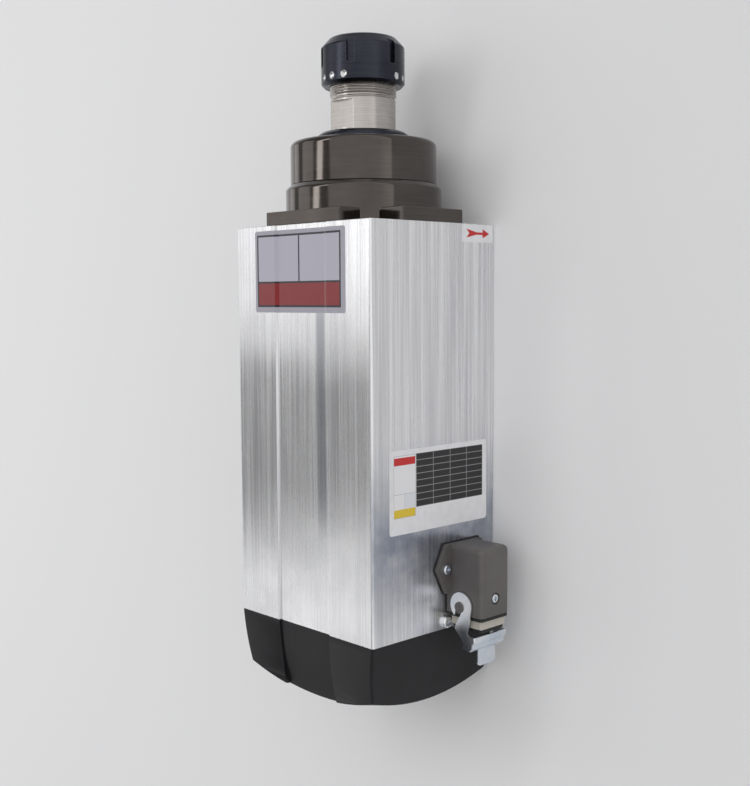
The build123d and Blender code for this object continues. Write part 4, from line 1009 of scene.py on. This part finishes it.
def makeArrow():
    s, c = arrowSizes, labelColors
    (x0, x1), (z0, z1), top = s["x"], s["z"], boxInMm("motor_casing")[1].y
    sticker = slab("arrowSticker", [rectLoop(x0, x1, z0, z1, 0.6)], top, top + s["thick"], toY)
    finishLabel(sticker, 30, printed("stickerPaper", c["white"], [], "XZ", 0.4))
    middle = (x0 + x1) / 2
    half = [(2.6, 3.9), (0.7, 12.5), (0.7, 18.1), (2.7, 18.1), (0, 23.9)]
    outline = [(middle + a, z1 - b) for a, b in half] + [(middle - a, z1 - b) for a, b in reversed(half[:-1])]
    outline.append((middle, z1 - 6.3))
    arrow = slab("turningArrow", [outline], top + s["thick"] - 0.02, top + s["thick"] + 0.05, toY)
    finishLabel(arrow, 30, printed("arrowPrint", c["brightRed"], [], "XZ", 0.4))


def makeInsertGapShade():
    # A thin black ring filling the gap between the insert's screw head and its recess: painted shade standing in for
    # the shadow in that gap
    low, high = boxInMm("insert_screw")
    middle = (low + high) / 2
    inner, outer, (bottom, top) = insertGapShade["inner"], insertGapShade["outer"], [high.y - v for v in insertGapShade["depths"]]
    ring = lathe("insertGapShadeRing", [(bottom, inner), (bottom, outer), (top, outer, 0.3), (top, inner, 0.1)], 48, 3)
    ring.data.transform(Matrix.Translation((middle.x * mm, 0, middle.z * mm)) @ Matrix.Rotation(math.pi / 2, 4, "Z"))
    finishPiece(ring, 35, "black_rubber", "motor_body")


makeFoil()
makePlate()
makeArrow()
makeInsertGapShade()
print("stage: labels ready")


# Screws, copied to their places

crossScrews = {    # node, axis, thread radius, head radius, head height, rows
    "fanCoverScrews": ("fan_cover_screws", "X", 2.0, 3.5, 2.6, (2, 2)),
    "housingScrews": ("housing_screws", "Y", 1.5, 2.9, 2.0, (1, 2)),
    "insertScrew": ("insert_screw", "Y", 1.5, 2.6, 1.2, (1, 1)),
    "earthScrew": ("earth_screw", "Y", 2.0, 3.6, 2.6, (1, 1)),
}


def socketScrew(name, radius, headRadius, socketRadius, length):
    # Head in front of x = 0, shank behind it, hex socket in the head
    head = 2 * radius
    screw = lathe(name, [(-head, 0), (-head, headRadius, 0.35), (0, headRadius, 0.1), (0, radius), (length, radius),
                         (length, 0)], 40, 3, False)
    hexagon = arcPoints(socketRadius, 0, 360, 6)[:-1]
    combine(closedNormals(screw), slab("socketCutter", [hexagon], -head - 1, -head + radius, toX))
    return screw


def crossScrew(name, radius, headRadius, height, length, slotWidth=0.9):
    # Domed head standing on z = 0, cross slot in it, shank below
    profile = [(height, 0), (height, headRadius, height * 0.75), (0, headRadius, 0.1), (0, radius), (-length, radius),
               (-length, 0)]
    screw = lathe(name, profile, 40, 5, False)
    closedNormals(screw)
    reach = headRadius * 0.62
    screw.data.transform(Matrix.Rotation(-math.pi / 2, 4, "Y"))
    for a, b in ((reach, slotWidth / 2), (slotWidth / 2, reach)):
        combine(screw, slab("slotArm", [rectLoop(-a, a, -b, b)], height - 1.3, height + 1, toZ))
    return screw


def makeShieldScrews():
    s = frontSizes
    seat = boxInMm("motor_casing")[0].x - s["screwSeat"]
    groups = []
    for sizes in s["plateScrews"]:
        y, z = sizes["y"], sizes["z"]
        screw = socketScrew("shieldScrew", *sizes["screw"])
        applyTree(screw, treeGrid, CountA=2, CountB=2, Start=(seat * mm, -y * mm, -z * mm),
                  StepA=(0, 2 * y * mm, 0), StepB=(0, 0, 2 * z * mm))
        groups.append(screw)
    finishPiece(merge("endShieldScrews", groups), 35, "black_screw_steel", "motor_body", "end_shield_screws")


def makeCapScrews():
    s = frontSizes
    low = boxInMm("front_bearing_cap")[0]
    screw = socketScrew("bearingCapScrews", *s["capScrew"])
    screw.data.transform(Matrix.Translation(((low.x + s["screwSunk"]) * mm, s["screwCircle"] * mm, 0)))
    applyTree(screw, treeRing, Count=6, StartDegrees=30.0, StepDegrees=60.0)
    finishPiece(screw, 35, "black_screw_steel", "motor_body", "bearing_cap_screws")


def makeCrossScrews(name, node, axis, radius, headRadius, height, rows):
    # The node's own box gives the first screw's place and the pitch of the rows
    low, high = boxInMm(node)
    length = (high.x - low.x if axis == "X" else high.y - low.y) - height
    screw = crossScrew(name, radius, headRadius, height, length)
    if axis == "X":
        screw.data.transform(Matrix.Rotation(math.pi / 2, 4, "Y"))
        start = ((high.x - height) * mm, (low.y + headRadius) * mm, (low.z + headRadius) * mm)
        spacing = ((0, high.y - low.y - 2 * headRadius, 0), (0, 0, high.z - low.z - 2 * headRadius))
    else:
        screw.data.transform(Matrix.Rotation(-math.pi / 2, 4, "X"))
        start = ((low.x + headRadius) * mm, (high.y - height) * mm, (low.z + headRadius) * mm)
        spacing = ((high.x - low.x - 2 * headRadius, 0, 0), (0, 0, high.z - low.z - 2 * headRadius))
    applyTree(screw, treeGrid, CountA=rows[0], CountB=rows[1], Start=start,
              StepA=[v * mm for v in spacing[0]], StepB=[v * mm for v in spacing[1]])
    finishPiece(screw, 35, "zinc_plate", "motor_body", node)


makeShieldScrews()
makeCapScrews()
for name, values in crossScrews.items():
    makeCrossScrews(name, *values)
print("stage: screws ready")


# Inner pieces keep the solids' shapes and get their finishes

for row in frame["record"]["subparts"]:
    obj = cadNodes.get(row.get("node") or row.get("name"))
    finish = finishes.get(row.get("material_slot"))
    if obj and finish:
        paint(obj, finish)
print("stage: inner pieces painted")


# Studio: pale floor, soft lamps, and the camera of the photograph's upper view

studio = {
    "floorSize": 6.0, "floorColor": (0.90, 0.90, 0.91), "skyLevel": 0.32, "horizonLevel": 0.66,
    "key": {"from": (-0.72, 1.1, 0.82), "strength": 1.45, "angle": 120.0},
    "lamps": {
        "noseSoftbox": ((-0.15, -1.27, 1.10), (0.1, 0, 0), (0.85, 0.75), 1.7),
        "rearSoftbox": ((1.02, -1.27, 1.10), (0.3, 0, 0), (0.75, 0.65), 1.4),
        "topStrip": ((-0.25, -0.45, 1.25), (0.0, 0, 0), (0.9, 0.22), 2.2),
        "sideSoftbox": ((0.3, -1.5, 0.25), (0.2, 0, 0), (1.1, 0.4), 1.1),
    },
    "cameraPlace": (0.1546, 0.5066, 0.4693), "cameraRight": (0.0059, 0.6864, -0.7272),
    "cameraUp": (-0.9964, -0.0576, -0.0624), "focalPixels": 1127.5, "frameHeight": 786.0, "sensor": 36.0,
}


def makeFloor():
    size, level = studio["floorSize"], cadBox[0].z
    floor = newObject("studioFloor", bpy.data.meshes.new("studioFloor"))
    half = size / 2
    floor.data.from_pydata([(-half, -half, level), (half, -half, level), (half, half, level), (-half, half, level)],
                           [], [(0, 1, 2, 3)])
    material = newMaterial("floorPaper", studio["floorColor"], 0.0, 0.9)[0]
    floor.data.materials.append(material)


def makeWorld():
    # A soft dim room with a pale band round the horizon
    world = bpy.data.worlds.new("studioWorld")
    world.use_nodes = True
    tree = world.node_tree
    direction = addNode(tree, "ShaderNodeTexCoord").outputs["Generated"]
    height = addNode(tree, "ShaderNodeSeparateXYZ", Vector=direction).outputs[2]
    level = ramp(tree, height, 0.0, 0.32, studio["horizonLevel"], studio["skyLevel"])
    tree.links.new(level, tree.nodes["Background"].inputs["Strength"])
    tree.nodes["Background"].inputs["Color"].default_value = (1, 1, 1, 1)
    scene.world = world


def aim(name, direction):
    bpy.data.objects[name].rotation_euler = direction.to_track_quat("-Z", "Y").to_euler()


def makeLamp(name, spot, target, size, power):
    lamp = bpy.data.lights.new(name, "AREA")
    lamp.shape = "RECTANGLE"
    lamp.size, lamp.size_y = size
    lamp.energy = power
    newObject(name, lamp).location = spot
    aim(name, Vector(target) - Vector(spot))


def makeKey():
    # One wide distant light, so that the floor is lit evenly
    key = bpy.data.lights.new("keyLight", "SUN")
    key.energy = studio["key"]["strength"]
    key.angle = math.radians(studio["key"]["angle"])
    newObject("keyLight", key)
    aim("keyLight", -Vector(studio["key"]["from"]))


def makeCamera():
    camera = bpy.data.cameras.new("photoCamera")
    camera.sensor_width = studio["sensor"]
    camera.lens = studio["sensor"] * studio["focalPixels"] / studio["frameHeight"]
    camera.clip_start, camera.clip_end = 0.01, 20
    holder = newObject("photoCamera", camera)
    right, up = Vector(studio["cameraRight"]).normalized(), Vector(studio["cameraUp"]).normalized()
    back = right.cross(up)
    turn = Matrix((right, up, back)).transposed().to_4x4()
    holder.matrix_world = Matrix.Translation(studio["cameraPlace"]) @ turn
    scene.camera = holder


makeFloor()
makeWorld()
makeKey()
for name, (spot, target, size, power) in studio["lamps"].items():
    makeLamp(name, spot, target, size, power)
makeCamera()
scene.view_settings.view_transform = "Standard"
print("stage: studio ready")
